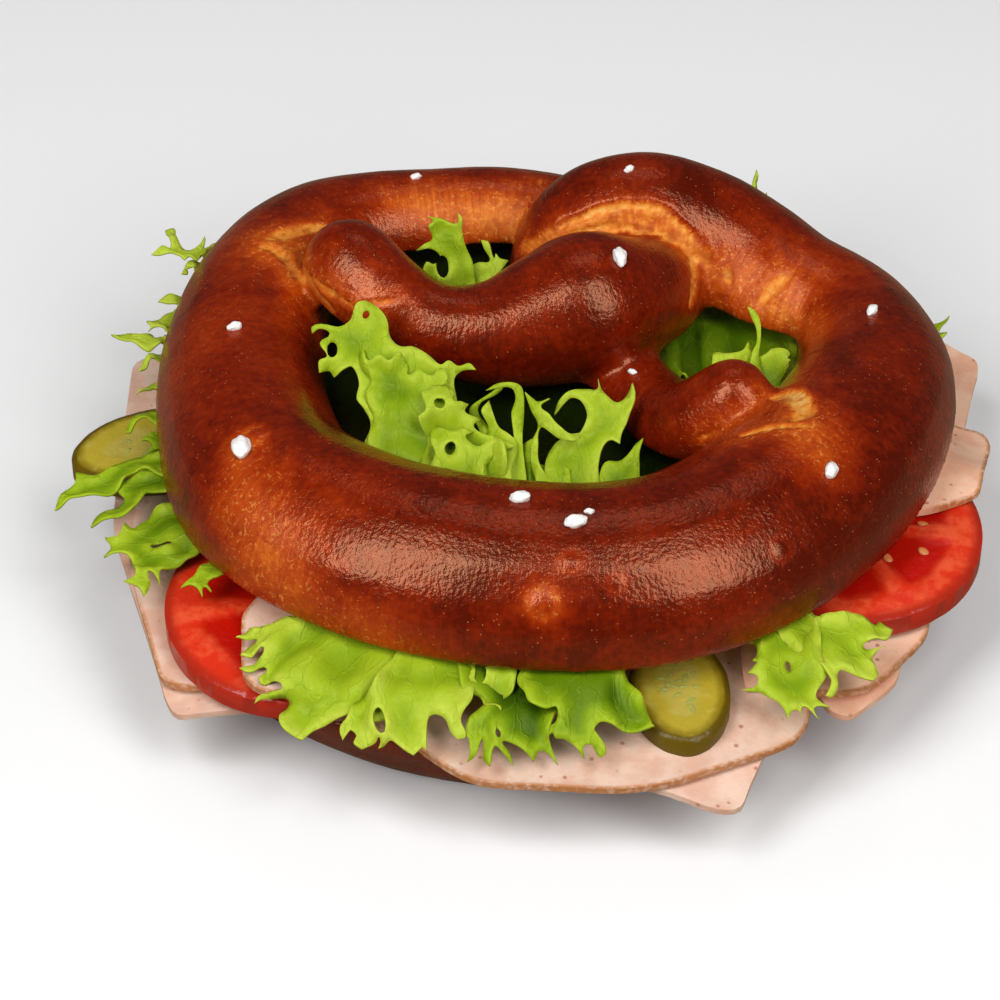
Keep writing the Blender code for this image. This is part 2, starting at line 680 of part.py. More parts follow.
def leaf_points(leaf, s, t):
    """Points of a leaf: s runs along its margin, t from the root (0) past the notches to the tips (1)."""
    net = np.array(leaf["net"], float)
    blade = np.minimum(t / BLADE_SHARE, 1)

    def on_net(along, out):
        rows, columns = curve_weights(out, len(net)), curve_weights(along, net.shape[1])
        return np.einsum("ni,nj,ijk->nk", rows, columns, net)

    place = on_net(s, blade)
    along = unit(on_net(np.minimum(s + NET_STEP, 1), blade) - on_net(np.maximum(s - NET_STEP, 0), blade))
    outward = on_net(s, np.minimum(blade + NET_STEP, 1)) - on_net(s, np.maximum(blade - NET_STEP, 0))
    outward = unit(outward - along * (outward * along).sum(axis=1)[:, None])
    facing = np.cross(along, outward)
    facing = facing * np.where(facing[:, 2] < 0, -1, 1)[:, None]

    rng = np.random.default_rng(leaf["seed"])
    first, second, third = rng.uniform(0, 2 * math.pi, 3)
    phase = 2 * math.pi * leaf["waves"] * s + first + FOLD_UNEVENNESS * np.sin(2 * math.pi * s + second)
    height = leaf["wave_height"] * blade**FOLD_GROWTH
    lift = np.sin(phase) + RIPPLE_HEIGHT * blade * np.sin(RIPPLE_RATE * phase + second)
    shift = FOLD_LEAN * np.sin(2 * phase + third)
    place = place + facing * (height * lift)[:, None] + along * (height * shift)[:, None]

    ends, _ = lobe_columns(leaf["lobes"])
    number = np.clip(np.searchsorted(ends, s, side="right") - 1, 0, len(leaf["lobes"]) - 1)
    across = (s - ends[number]) / (ends[number + 1] - ends[number]) * 2 - 1
    lobes = np.array(leaf["lobes"])[number]
    curls = rng.uniform(*LOBE_CURL, len(leaf["lobes"]))[number]
    reach = np.maximum(0, t - BLADE_SHARE) / (1 - BLADE_SHARE)
    body = np.maximum(0, 1 - np.abs(across) ** LOBE_ROUNDNESS)
    length = reach * lobes[:, 1] * np.maximum(LOBE_ROOT_SHARE, body)
    turn = curls * reach
    place = place + outward * (length * np.cos(turn))[:, None] + facing * (length * np.sin(turn))[:, None]
    return place + along * (lobes[:, 2] * reach * body)[:, None]


def pressed_clear(points, path, shape, ground):
    """Moves leaf points out of the upper half's crust, and up off the filling below."""
    points = points.copy()
    strand = path[:, :3] + (0, 0, FILLING_HEIGHT)
    ceiling = UPPER_CUT - LEAF_CLEARANCE
    for _ in range(CLEARING_PASSES):
        offsets = points[:, None, :] - strand[None, :, :]
        distances = np.linalg.norm(offsets, axis=2)
        depths = path[:, 3] + LEAF_CLEARANCE - distances
        worst = depths.argmax(axis=1)
        rows = np.arange(len(points))
        depth = depths[rows, worst]
        over = points[:, 2] - ceiling
        inside = (depth > 0) & (over > 0)
        sinks = inside & (over <= depth)
        points[sinks, 2] = ceiling
        pushed = inside & ~sinks
        away = offsets[rows, worst] / np.maximum(distances[rows, worst], 1e-6)[:, None]
        points[pushed] += away[pushed] * depth[pushed, None]
    floor = lettuce_floor(points[:, :2], shape, ground) + LEAF_LIFT
    points[:, 2] = np.maximum(points[:, 2], floor)
    return points


def make_leaf(name, leaf, path, shape, collection, material):
    _, columns = lobe_columns(leaf["lobes"])
    rows = np.array(BLADE_ROWS + LOBE_ROWS)
    s = np.tile(columns, len(rows))
    t = np.repeat(rows, len(columns))
    points = pressed_clear(leaf_points(leaf, s, t), path, shape, leaf.get("ground", THIRD_LAYER))
    blade = bmesh.new()
    bmesh.ops.create_grid(blade, x_segments=len(columns) - 1, y_segments=len(rows) - 1, size=1.0)
    order = sorted(blade.verts, key=lambda vert: (round(vert.co.y, 4), round(vert.co.x, 4)))
    for vert, point in zip(order, points):
        vert.co = point
    bmesh.ops.triangulate(blade, faces=blade.faces)
    mesh = bpy.data.meshes.new(name)
    blade.to_mesh(mesh)
    blade.free()
    obj = add_object(name, mesh, collection, material)
    thick = obj.modifiers.new("thick", "SOLIDIFY")
    thick.thickness = LETTUCE_THICKNESS
    thick.offset = 0.0
    return obj


def finish(obj, origin):
    """Brings a piece from millimetres to metres, shades it smooth and hangs it on the origin."""
    apply_modifiers(obj)
    obj.data.transform(Matrix.Diagonal((MM, MM, MM, 1)))
    obj.data.shade_smooth()
    obj.data.set_sharp_from_angle(angle=math.radians(SHARP_ANGLE))
    obj.parent = origin


def main():
    remove_everything()
    parts = make_collection("pretzel_sandwich")
    cutters = make_collection("cutters")
    materials = {name: make_material(name) for name in COLOURS}

    dough = make_dough(cutters)
    lower_slab = make_slab("lower_slab", 0, CUT_HEIGHT, cutters)
    upper_slab = make_slab("upper_slab", CUT_HEIGHT, ABOVE_ALL, cutters)
    base = make_half("pretzel_base", dough, LOWER_TRIANGLES, lower_slab, parts, materials["crust"])
    base.data.transform(Matrix.Translation((*LOWER_HALF_SHIFT, 0)))
    top = make_half("pretzel_top", dough, UPPER_TRIANGLES, upper_slab, parts, materials["crust"])
    top.data.transform(Matrix.Translation((0, 0, FILLING_HEIGHT)))
    for helper in (dough, lower_slab, upper_slab):
        bpy.data.objects.remove(helper)
    add_salt(top, cutters)

    shape = outlines()
    places = resting_places(shape)
    for name in HAM:
        make_slice(name, shape[name], places[name], HAM_THICKNESS, 0, parts, materials["ham"])
    for name in TOMATO:
        make_slice(name, shape[name], places[name], TOMATO_THICKNESS, ROUND_RIM, parts, materials["tomato"])
    for name in GHERKIN:
        make_slice(name, shape[name], places[name], GHERKIN_THICKNESS, ROUND_RIM, parts, materials["gherkin"])
    path = strand_path()
    for name, leaf in LETTUCE.items():
        make_leaf(name, leaf, path, shape, parts, materials["lettuce"])

    origin = bpy.data.objects.new("origin", None)
    parts.objects.link(origin)
    origin.location = (-PLAN_CENTRE[0] * MM, -PLAN_CENTRE[1] * MM, 0)
    for obj in list(parts.objects):
        if obj.type == "MESH":
            finish(obj, origin)


main()
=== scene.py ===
"""A pretzel sandwich, photographed from the front: crust, salt, cold cuts, tomato, gherkin and lettuce."""

import math

import bmesh
import bpy
import numpy as np
from mathutils import Euler, Matrix, Vector, noise
from mathutils.bvhtree import BVHTree
from mathutils.geometry import delaunay_2d_cdt
from mathutils.kdtree import KDTree


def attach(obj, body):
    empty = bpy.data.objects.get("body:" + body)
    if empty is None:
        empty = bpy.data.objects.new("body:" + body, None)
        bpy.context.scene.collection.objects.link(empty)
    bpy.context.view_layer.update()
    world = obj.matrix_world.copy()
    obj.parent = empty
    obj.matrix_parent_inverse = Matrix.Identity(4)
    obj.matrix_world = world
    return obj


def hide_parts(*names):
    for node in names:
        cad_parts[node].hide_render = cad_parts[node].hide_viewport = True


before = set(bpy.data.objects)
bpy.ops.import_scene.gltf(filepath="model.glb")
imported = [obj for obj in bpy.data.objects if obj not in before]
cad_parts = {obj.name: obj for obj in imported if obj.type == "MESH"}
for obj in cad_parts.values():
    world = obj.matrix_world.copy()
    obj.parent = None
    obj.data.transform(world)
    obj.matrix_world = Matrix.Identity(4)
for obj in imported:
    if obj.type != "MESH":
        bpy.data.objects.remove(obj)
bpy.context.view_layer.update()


# Camera, floor and light. The sandwich stands on a plain pale floor and is seen from the front at a steep
# angle, between two tall softboxes that leave long highlights on its glossy crust.

MM = 0.001
TRAY_ORIGIN = Vector((1.4, 13.8, 0))


def to_frame(point):
    """A point in the baking tray's millimetres, in the frame's metres."""
    return (Vector(point) - TRAY_ORIGIN) * MM


def aimed(obj, place, target):
    """Puts a lamp or the camera in its place, looking at a point."""
    bpy.context.scene.collection.objects.link(obj)
    obj.location = place
    obj.rotation_euler = (target - place).to_track_quat("-Z", "Y").to_euler()
    return obj


CAMERA_ELEVATION = math.radians(43)
CAMERA_DISTANCE = 780.0
CAMERA_LENS = 132.54
SENSOR_WIDTH = 36.0
CAMERA_TARGET = to_frame((-6, 0, 30))

lens = bpy.data.cameras.new("camera")
lens.sensor_width = SENSOR_WIDTH
lens.lens = CAMERA_LENS
lens.clip_start = 0.01
towards_camera = Vector((0, -math.cos(CAMERA_ELEVATION), math.sin(CAMERA_ELEVATION)))
camera = bpy.data.objects.new("camera", lens)
aimed(camera, CAMERA_TARGET + towards_camera * CAMERA_DISTANCE * MM, CAMERA_TARGET)
bpy.context.scene.camera = camera


def add_softbox(name, azimuth, elevation, distance, width, height, watts):
    """A rectangular lamp that faces the sandwich. Azimuth 0 is over the camera, 90 is on the right."""
    turn, rise = math.radians(azimuth), math.radians(elevation)
    away = Vector((math.sin(turn) * math.cos(rise), -math.cos(turn) * math.cos(rise), math.sin(rise)))
    lamp = bpy.data.lights.new(name, "AREA")
    lamp.shape = "RECTANGLE"
    lamp.size = width
    lamp.size_y = height
    lamp.energy = watts
    aimed(bpy.data.objects.new(name, lamp), CAMERA_TARGET + away * distance, CAMERA_TARGET)


add_softbox("softbox_left", azimuth=-47, elevation=49, distance=1.2, width=0.46, height=1.1, watts=12.0)
add_softbox("softbox_right", azimuth=46, elevation=49, distance=1.2, width=0.46, height=1.1, watts=9.8)
add_softbox("softbox_back", azimuth=175, elevation=58, distance=1.4, width=0.55, height=0.25, watts=0.6)

ROOM_LIGHT = 0.06
world = bpy.data.worlds.new("studio")
world.use_nodes = True
world.node_tree.nodes["Background"].inputs["Color"].default_value = (1, 1, 1, 1)
world.node_tree.nodes["Background"].inputs["Strength"].default_value = ROOM_LIGHT
bpy.context.scene.world = world
bpy.context.scene.view_settings.view_transform = "Standard"


def new_material(name, **finish):
    """A material with a Principled shader, whose sockets are set from the finish."""
    material = bpy.data.materials.new(name)
    material.use_nodes = True
    shader = material.node_tree.nodes["Principled BSDF"]
    for socket, value in finish.items():
        shader.inputs[socket.replace("_", " ")].default_value = value
    return material, material.node_tree, shader


def add_node(tree, kind, inputs=None, **settings):
    made = tree.nodes.new("ShaderNode" + kind)
    for name, value in settings.items():
        setattr(made, name, value)
    for name, value in (inputs or {}).items():
        if isinstance(value, bpy.types.NodeSocket):
            tree.links.new(value, made.inputs[name])
        else:
            made.inputs[name].default_value = value
    return made


def millimetres(tree):
    """Places on the piece itself, in millimetres."""
    place = add_node(tree, "TexCoord").outputs["Object"]
    return add_node(tree, "Mapping", {"Vector": place, "Scale": (1000, 1000, 1000)}).outputs[0]


def mottle(tree, place, size, detail=2.0, stretch=(1, 1, 1)):
    """Soft noise from 0 to 1 with patches of about a size in millimetres."""
    spread = add_node(tree, "Mapping", {"Vector": place, "Scale": tuple(1 / (size * k) for k in stretch)})
    inputs = {"Vector": spread.outputs[0], "Scale": 1.0, "Detail": detail}
    return add_node(tree, "TexNoise", inputs).outputs[0]


def calc(tree, operation, first, second=0.0, third=0.0):
    return add_node(tree, "Math", {0: first, 1: second, 2: third}, operation=operation).outputs[0]


def fade(tree, value, start, end, low=0.0, high=1.0):
    """A smooth step of a value between start and end."""
    inputs = {"Value": value, "From Min": start, "From Max": end, "To Min": low, "To Max": high}
    return add_node(tree, "MapRange", inputs, interpolation_type="SMOOTHSTEP").outputs["Result"]


def blend(tree, share, first, second, way="MIX"):
    inputs = {"Fac": share, "Color1": first, "Color2": second}
    return add_node(tree, "MixRGB", inputs, blend_type=way).outputs["Color"]


def shades(tree, value, stops):
    """A colour ramp through stops of (place, colour)."""
    made = add_node(tree, "ValToRGB", {"Fac": value})
    ramp = made.color_ramp
    while len(ramp.elements) < len(stops):
        ramp.elements.new(1.0)
    for element, (place, colour) in zip(ramp.elements, stops):
        element.position = place
        element.color = (*colour, 1)
    return made.outputs["Color"]


def measured(tree, name):
    """What was measured on the piece at each of its points."""
    return add_node(tree, "Attribute", attribute_name=name).outputs["Fac"]


def relief(tree, height, depth, under=None):
    """Bumps of a depth in millimetres, over those under them."""
    inputs = {"Height": height, "Distance": depth * MM, "Strength": 1.0}
    if under is not None:
        inputs["Normal"] = under
    return add_node(tree, "Bump", inputs).outputs["Normal"]


FLOOR_SIZE = 6.0
FLOOR_GAP = 0.0002
FLOOR_COLOUR = (0.90, 0.90, 0.90, 1)
FLOOR_GRAIN = (0.91, 0.91, 0.91, 1)
FLOOR_BOUNCE = (0.27, 0.20, 0.13, 1)

bpy.ops.mesh.primitive_plane_add(size=FLOOR_SIZE, location=(0, 0, -FLOOR_GAP))
floor = bpy.context.object
floor.name = "floor"
painted, floor_tree, floor_shader = new_material("floor_paint", Roughness=0.75)
floor_grain = mottle(floor_tree, millimetres(floor_tree), 3.0)
light_grain = blend(floor_tree, floor_grain, FLOOR_COLOUR, FLOOR_GRAIN)
# Painted shade in the floor's bounce: every ray but the camera's sees the floor a dark warm brown, so it
# bounces less light and shows less in the crust's reflections, while the camera sees it evenly pale.
seen = add_node(floor_tree, "LightPath").outputs["Is Camera Ray"]
light_grain = blend(floor_tree, seen, FLOOR_BOUNCE, light_grain)
floor_tree.links.new(light_grain, floor_shader.inputs["Base Color"])
floor.data.materials.append(painted)


# The dough. A pretzel is one tapered strand of wheat dough, slung into its knot, dipped in lye, salted and
# baked on a tray: it grows into itself where it crosses, and tears open in pale seams beside the crossings.

STRAND = [
    (-38.5, 50, 36, 10.6),
    (-31, 43, 33, 10.2),
    (-21, 37.5, 29.5, 9.7),
    (-8, 36.5, 28, 11.8),
    (4, 40.5, 28.5, 15.0),
    (13.5, 44.5, 29.5, 16.4),
    (21.5, 50, 26.5, 14.0),
    (28, 60, 20, 12.4),
    (30, 71, 15, 12.4),
    (23, 81.5, 15, 12.6),
    (10, 88, 15, 12.6),
    (-6, 90, 16, 12.8),
    (-20, 89, 16, 13.2),
    (-33.5, 86.5, 16, 14.0),
    (-47, 80, 16.5, 15.3),
    (-56.5, 65, 17, 17.0),
    (-61.5, 43, 18, 18.0),
    (-61, 18.5, 19, 18.9),
    (-52.5, -9, 20, 21.0),
    (-33, -25, 20, 22.2),
    (-10, -33, 20, 22.6),
    (14.5, -35, 20, 22.6),
    (35, -29, 20, 22.5),
    (54.5, -12.5, 20, 22.2),
    (68.5, 9.5, 19, 20.6),
    (75, 31.5, 18, 17.8),
    (71.5, 52, 17, 14.8),
    (57.5, 63.5, 15.5, 17),
    (48, 71.2, 18.6, 16.8),
    (37.6, 74.8, 25, 15.6),
    (25.5, 75.5, 31, 13.4),
    (13, 74, 28, 12.3),
    (6.5, 70, 18, 10.8),
    (8, 57, 13, 10.2),
    (17, 42, 14, 10.2),
    (26.4, 24, 16.5, 10.2),
    (34, 14, 22, 9.5),
    (43, 12, 31.5, 8.5),
]
CUT_HEIGHT = 19.0
FILLING_HEIGHT = 17.0
UPPER_CUT = CUT_HEIGHT + FILLING_HEIGHT
LOWER_HALF_SHIFT = (-2.0, -7.0)
PATH_STEP = 3.0
TIP_ANGLES = (25, 50, 70, 85)
UPPER_VOXEL = 0.9
LOWER_VOXEL = 1.2
SMOOTHED_MM2 = 9.0
SETTLED_DEPTH = 3.0
SETTLED_HEIGHT = 10.0
SLAB_WIDTH = 400


def curve_weights(places, count):
    """Weights of evenly spaced points of a Catmull-Rom curve, at places from 0 to 1 along it."""
    along = np.clip(np.atleast_1d(places), 0, 1) * (count - 1)
    first = np.minimum(along.astype(int), count - 2)
    u = along - first
    shares = (
        -0.5 * u + u**2 - 0.5 * u**3,
        1 - 2.5 * u**2 + 1.5 * u**3,
        0.5 * u + 2 * u**2 - 1.5 * u**3,
        -0.5 * u**2 + 0.5 * u**3,
    )
    weights = np.zeros((len(along), count + 2))
    rows = np.arange(len(along))
    for step, share in enumerate(shares):
        weights[rows, first + step] += share
    weights[:, 1] += 2 * weights[:, 0]
    weights[:, 2] -= weights[:, 0]
    weights[:, -2] += 2 * weights[:, -1]
    weights[:, -3] -= weights[:, -1]
    return weights[:, 1:-1]


def curve_through(points, count):
    """A number of points on a smooth curve through a few."""
    knots = np.array(points, float)
    return curve_weights(np.linspace(0, 1, count), len(knots)) @ knots


def strand_path():
    """Points along the strand, a step apart, with round tips past both knobs."""
    knots = np.array(STRAND, float)
    length = np.linalg.norm(np.diff(knots[:, :3], axis=0), axis=1).sum()
    path = curve_through(STRAND, round(length / PATH_STEP))

    def tip(end, inner):
        away = (end[:3] - inner[:3]) / np.linalg.norm(end[:3] - inner[:3])
        turns = np.radians(TIP_ANGLES)
        return [np.append(end[:3] + away * end[3] * math.sin(a), end[3] * math.cos(a)) for a in turns]

    return np.vstack([tip(path[0], path[1])[::-1], path, tip(path[-1], path[-2])])


def add_object(name, mesh):
    obj = bpy.data.objects.new(name, mesh)
    bpy.context.scene.collection.objects.link(obj)
    return obj


def add_modifier(obj, name, kind, **settings):
    modifier = obj.modifiers.new(name, kind)
    for setting, value in settings.items():
        setattr(modifier, setting, value)


def apply_modifiers(obj):
    bpy.context.view_layer.update()
    graph = bpy.context.evaluated_depsgraph_get()
    mesh = bpy.data.meshes.new_from_object(obj.evaluated_get(graph))
    obj.modifiers.clear()
    obj.data = mesh


def points_of(mesh):
    flat = np.empty(len(mesh.vertices) * 3, np.float32)
    mesh.vertices.foreach_get("co", flat)
    return flat.reshape(-1, 3).astype(float)


def normals_of(mesh):
    flat = np.empty(len(mesh.vertices) * 3, np.float32)
    mesh.vertex_normals.foreach_get("vector", flat)
    return flat.reshape(-1, 3).astype(float)


def move_points(mesh, points):
    mesh.vertices.foreach_set("co", points.astype(np.float32).ravel())
    mesh.update()


def keep_measure(mesh, name, values):
    """Keeps a value for each point of a mesh, for its material to read."""
    mesh.attributes.new(name, "FLOAT", "POINT").data.foreach_set("value", values.astype(np.float32))


def serve(obj, slot, *nodes):
    """A finished piece goes from the tray's millimetres to the frame, and stands for its solids there."""
    obj.data.transform(Matrix.Scale(MM, 4) @ Matrix.Translation(-TRAY_ORIGIN))
    obj.data.shade_smooth()
    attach(obj, "root")
    if nodes:
        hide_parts(*nodes)


def baked_half(name, low, high, voxel):
    """The strand grown into one loaf, settled on its tray and cut level, between two heights."""
    path = strand_path()
    curve = bpy.data.curves.new("strand", "CURVE")
    curve.dimensions = "3D"
    curve.bevel_depth = 1.0
    curve.bevel_resolution = 8
    curve.use_fill_caps = True
    spline = curve.splines.new("POLY")
    spline.points.add(len(path) - 1)
    for point, (x, y, z, radius) in zip(spline.points, path):
        point.co = (x, y, z, 1)
        point.radius = radius
    guide = add_object("strand", curve)
    bpy.context.view_layer.update()
    graph = bpy.context.evaluated_depsgraph_get()
    half = add_object(name, bpy.data.meshes.new_from_object(guide.evaluated_get(graph)))
    bpy.data.objects.remove(guide)
    smoothing = round(SMOOTHED_MM2 / (0.5 * voxel**2))
    add_modifier(half, "fused", "REMESH", mode="VOXEL", voxel_size=voxel)
    add_modifier(half, "eased", "SMOOTH", factor=0.5, iterations=smoothing)
    apply_modifiers(half)
    points = points_of(half.data)
    points[:, 2] -= SETTLED_DEPTH * np.maximum(1 - np.maximum(points[:, 2], 0) / SETTLED_HEIGHT, 0)
    move_points(half.data, points)
    bpy.ops.mesh.primitive_cube_add(size=1.0)
    slab = bpy.context.object
    size = Matrix.Diagonal((SLAB_WIDTH, SLAB_WIDTH, high - low, 1))
    slab.data.transform(Matrix.Translation((0, 0, (low + high) / 2)) @ size)
    add_modifier(half, "cut", "BOOLEAN", operation="INTERSECT", solver="MANIFOLD", object=slab)
    add_modifier(half, "even", "REMESH", mode="VOXEL", voxel_size=voxel)
    add_modifier(half, "softened", "SMOOTH", factor=0.5, iterations=2)
    apply_modifiers(half)
    bpy.data.objects.remove(slab)
    return half


def distance_to(points, line):
    """How far each point is from a line through a few points, and the nearest place along it, 0 to 1."""
    line = np.array(line, float)
    nearest = np.full(len(points), np.inf)
    place = np.zeros(len(points))
    for k, (a, b) in enumerate(zip(line, line[1:])):
        side = b - a
        share = np.clip(((points - a) @ side) / (side @ side), 0, 1)
        far = np.linalg.norm(points - a - share[:, None] * side, axis=1)
        closer = far < nearest
        nearest = np.where(closer, far, nearest)
        place = np.where(closer, (k + share) / (len(line) - 1), place)
    return nearest, place


def smooth_step(values, start, end):
    share = np.clip((values - start) / (end - start), 0, 1)
    return share * share * (3 - 2 * share)


def bumpy(points, size, seed):
    """Soft noise from -1 to 1 at each point, with patches of a size in millimetres."""
    shift = Vector((seed * 17.3, seed * 5.1, seed * 9.7))
    return np.array([noise.noise(Vector(point) / size + shift) for point in points])


# Where the crust tore open as it rose: a line on it, the half width of the tear, how pale it is, and how
# far round it the crust stays light.
TEARS = [
    (
        [(-1, 68, 43), (7, 64.5, 49.6), (18, 64.3, 54), (28, 64, 54), (34.5, 61.5, 50.5), (40, 58.5, 46)],
        2.7, 0.7, 6,
    ),
    (
        [(7.3, 65.4, 51.7), (17.1, 66.1, 55.7), (24.8, 65.7, 57.1), (30.3, 65, 55.7), (39.4, 60.5, 48.9)],
        1.0, 1, 2,
    ),
    (
        [(8, 63.5, 50), (16, 63.5, 52.5), (21.5, 63, 52.6), (28.1, 62.5, 51.9), (33.2, 61.3, 49.7)],
        0.8, 1, 2,
    ),
    ([(37, 60, 47), (36.3, 55, 46.3), (35.8, 50, 45.2), (35.6, 47.3, 43.9)], 1.7, 0.9, 5),
    ([(44.3, 57.6, 45.4), (44.3, 55.6, 42.9)], 1.2, 1, 2),
    ([(51, 50.4, 42), (53.7, 52.1, 45), (57, 54.3, 47.7)], 1.5, 1, 3),
    ([(54.1, 49.3, 42.5), (54.8, 49.0, 42.2)], 0.9, 0.8, 3),
    ([(58.1, 46, 41.9), (57.8, 43.3, 39.8)], 0.9, 0.8, 3),
    (
        [(-58.3, 59, 51.3), (-54.2, 56.5, 50.7), (-49.7, 50.7, 49.8), (-47, 44.6, 52.4), (-42, 39.7, 49.2)],
        1.3, 0.9, 7,
    ),
    ([(-52.5, 57, 50), (-46.6, 44.4, 54.3), (-37.8, 36.2, 53.2)], 0.9, 0.8, 6),
    ([(-57, 61.8, 51), (-52.4, 65, 50.2), (-45, 70.6, 47.6)], 1.8, 0.9, 5),
    ([(-35.6, 35.4, 54.4), (-31.7, 34.7, 55.6), (-27.4, 34.6, 56.2)], 0.6, 0.5, 3),
    ([(51.5, 7.5, 52.4), (55.5, 4.5, 55.6), (56.7, -2.8, 58), (54.8, -5.6, 58.2)], 2.6, 1.15, 5),
    ([(36, 3.7, 43.8), (38.4, 3, 46), (41.2, 1.4, 48.7)], 0.9, 0.8, 4),
    ([(43.4, -9.1, 56.5), (49.4, -8.4, 57.8), (58.5, -8.8, 58.3)], 1.0, 0.9, 6),
    ([(3.1, 90.4, 44.8), (-1.5, 81.4, 42.1), (-3.5, 76, 36.3)], 0.8, 0.5, 5),
]

# Where it stayed orange, and patches of painted light and painted shade: the middle of a patch, its radius,
# and how much lighter it is. The wide lighter patch on the left rope is a painted sheen, and the darker
# patches, with a negative value, are painted shade.
PATCHES = [
    ((-18, 81, 43), 9, 0.40),
    ((-6, 81, 42), 7, 0.45),
    ((-28, 82, 45), 7, 0.30),
    ((50, 58, 38), 10, 0.30),
    ((58, 50, 40), 9, 0.26),
    ((63, 36, 44), 8, 0.25),
    ((-58, -22, 52), 10, 0.30),
    ((-54, -34, 47), 11, 0.35),
    ((-46, -41, 43), 9, 0.25),
    ((-36, -47, 38), 9, 0.15),
    ((-60, -12, 57), 5, 0.30),
    ((-26, -51, 37), 9, 0.12),
    # A painted sheen on the left rope.
    ((-66, 26, 52), 18, 0.16),
    ((-60, 62, 46), 14, 0.10),
    ((50, 62, 44), 10, 0.12),
    ((58, 54, 44), 9, 0.18),
    ((2.5, -52, 51), 5, 0.25),
    ((45, 2, 52), 11, 0.28),
    ((56, -12, 57), 10, 0.22),
    ((60, -18, 56), 6, 0.22),
    ((40, 58, 44), 8, 0.18),
    ((-45, 47, 52), 8, 0.28),
    ((-53, 60, 51), 8, 0.25),
    # From here on darker patches: painted shade.
    ((73, -14, 48), 13, -0.12),
    ((66, -28, 45), 11, -0.10),
    ((54, -38, 47), 9, -0.08),
    ((36, 71, 58), 8, -0.10),
    ((43, 9, 54), 5, -0.08),
    ((10, 27, 46), 9, -0.08),
    ((-6, -55, 45), 10, -0.08),
    ((9, -58, 42), 12, -0.10),
    ((56, 61, 49), 8, -0.08),
    ((38, 66, 55), 8, -0.06),
]

# Small blisters: middle, radius and height.
BLISTERS = [
    ((2.5, -52.2, 50.8), 3.2, 0.5),
    ((-56.2, -9.7, 57.2), 2.4, 0.45),
    ((8, -46, 56), 2.2, 0.3),
    ((17, -49, 53), 2.0, 0.3),
    ((50, -38, 52), 2.4, 0.3),
    ((43, 8, 60), 1.6, 0.25),
    ((-33, 41, 62), 1.6, 0.25),
]


def bake_crust(half, lift):
    """Measures how brown each point is, and raises the crust's blisters and the lips of its tears."""
    points = points_of(half.data)
    normals = normals_of(half.data)
    baked = points + (0, 0, lift)
    wide = bumpy(baked, 16, 1)
    fine = bumpy(baked, 3.5, 2)
    finest = bumpy(baked, 1.3, 3)
    brown = np.full(len(points), 0.90) + 0.10 * wide + 0.05 * fine
    low = smooth_step(baked[:, 2], CUT_HEIGHT + lift + 14, CUT_HEIGHT + lift + 1)
    if not lift:
        low = smooth_step(baked[:, 2], 4, 0)
    brown -= 0.03 * low
    rise = 0.22 * wide + 0.05 * fine
    if lift:
        # Orange patches lighten the crust, and among them are painted sheen and painted shade.
        for place, radius, lighter in PATCHES:
            far = np.linalg.norm(baked - place, axis=1) * (1 + 0.35 * fine) / radius
            brown -= lighter * np.exp(-far**2) * (1 + 0.5 * fine)
        brown = np.maximum(brown, 0.34)
        for line, width, pale, reach in TEARS:
            far, along = distance_to(baked, curve_through(line, 6 * len(line)))
            ragged = far * (1 + 0.35 * fine) + 0.35 * finest
            narrowing = 0.45 + 0.55 * np.sqrt(np.clip(4 * along * (1 - along), 0, 1))
            inside = 1 - smooth_step(ragged / (width * narrowing), 0.55, 1.35)
            halo = np.exp(-((ragged / reach) ** 2))
            brown -= 0.30 * halo * (brown - 0.3)
            brown += (0.17 + 0.24 * np.clip(finest, 0, 1) - brown) * inside * pale
            lips = np.exp(-(((ragged - 1.5 * width) / (0.8 * width)) ** 2))
            rise += (0.25 * lips - 0.45 * inside) * pale + 0.10 * finest * inside
        for place, radius, height in BLISTERS:
            far = np.linalg.norm(baked - place, axis=1) / radius
            rise += height * (1 - smooth_step(far, 0.2, 1.0))
            brown -= 0.16 * np.exp(-(((far - 1.0) / 0.35) ** 2))
    cut = CUT_HEIGHT + lift
    off_cut = np.abs(baked[:, 2] - cut)
    crumb = smooth_step(off_cut, 1.0, 0.3) * smooth_step(np.abs(normals[:, 2]), 0.7, 0.95)
    pores = np.minimum(0, finest + 0.5 * bumpy(baked, 0.8, 4)) * 0.5
    rise = rise * smooth_step(off_cut, 0.3, 2.5) * smooth_step(baked[:, 2], 0.2, 2.0) + pores * crumb
    move_points(half.data, baked + normals * rise[:, None])
    keep_measure(half.data, "brown", np.clip(brown, 0, 1.1))
    keep_measure(half.data, "crumb", crumb)
    path = strand_path()
    tree = KDTree(len(path))
    for k, station in enumerate(path):
        tree.insert(station[:3] + (0, 0, lift), k)
    tree.balance()
    nearest = np.array([tree.find(point)[1] for point in baked])
    ahead = np.gradient(path[:, :3], axis=0)
    ahead /= np.linalg.norm(ahead, axis=1)[:, None]
    offset = baked - path[nearest, :3] - (0, 0, lift)
    along = nearest * PATH_STEP + (offset * ahead[nearest]).sum(axis=1)
    keep_measure(half.data, "along", along)


CRUMB_PALE = (0.86, 0.66, 0.38, 1)
CRUMB_PORES = (0.62, 0.40, 0.18, 1)
SPECK_ORANGE = (0.66, 0.20, 0.045, 1)
CRACK_ORANGE = (0.82, 0.34, 0.07, 1)
SCORCHED_BROWN = (0.30, 0.028, 0.002, 1)
CRUMB_ROUGH = (0.75, 0.75, 0.75, 1)
CRUST_SHADES = [
    (0.06, (0.84, 0.46, 0.13)),
    (0.20, (0.74, 0.26, 0.030)),
    (0.36, (0.60, 0.125, 0.008)),
    (0.52, (0.44, 0.055, 0.0030)),
    (0.70, (0.29, 0.023, 0.0014)),
    (0.86, (0.180, 0.0100, 0.0009)),
    (1.00, (0.090, 0.0045, 0.0006)),
]


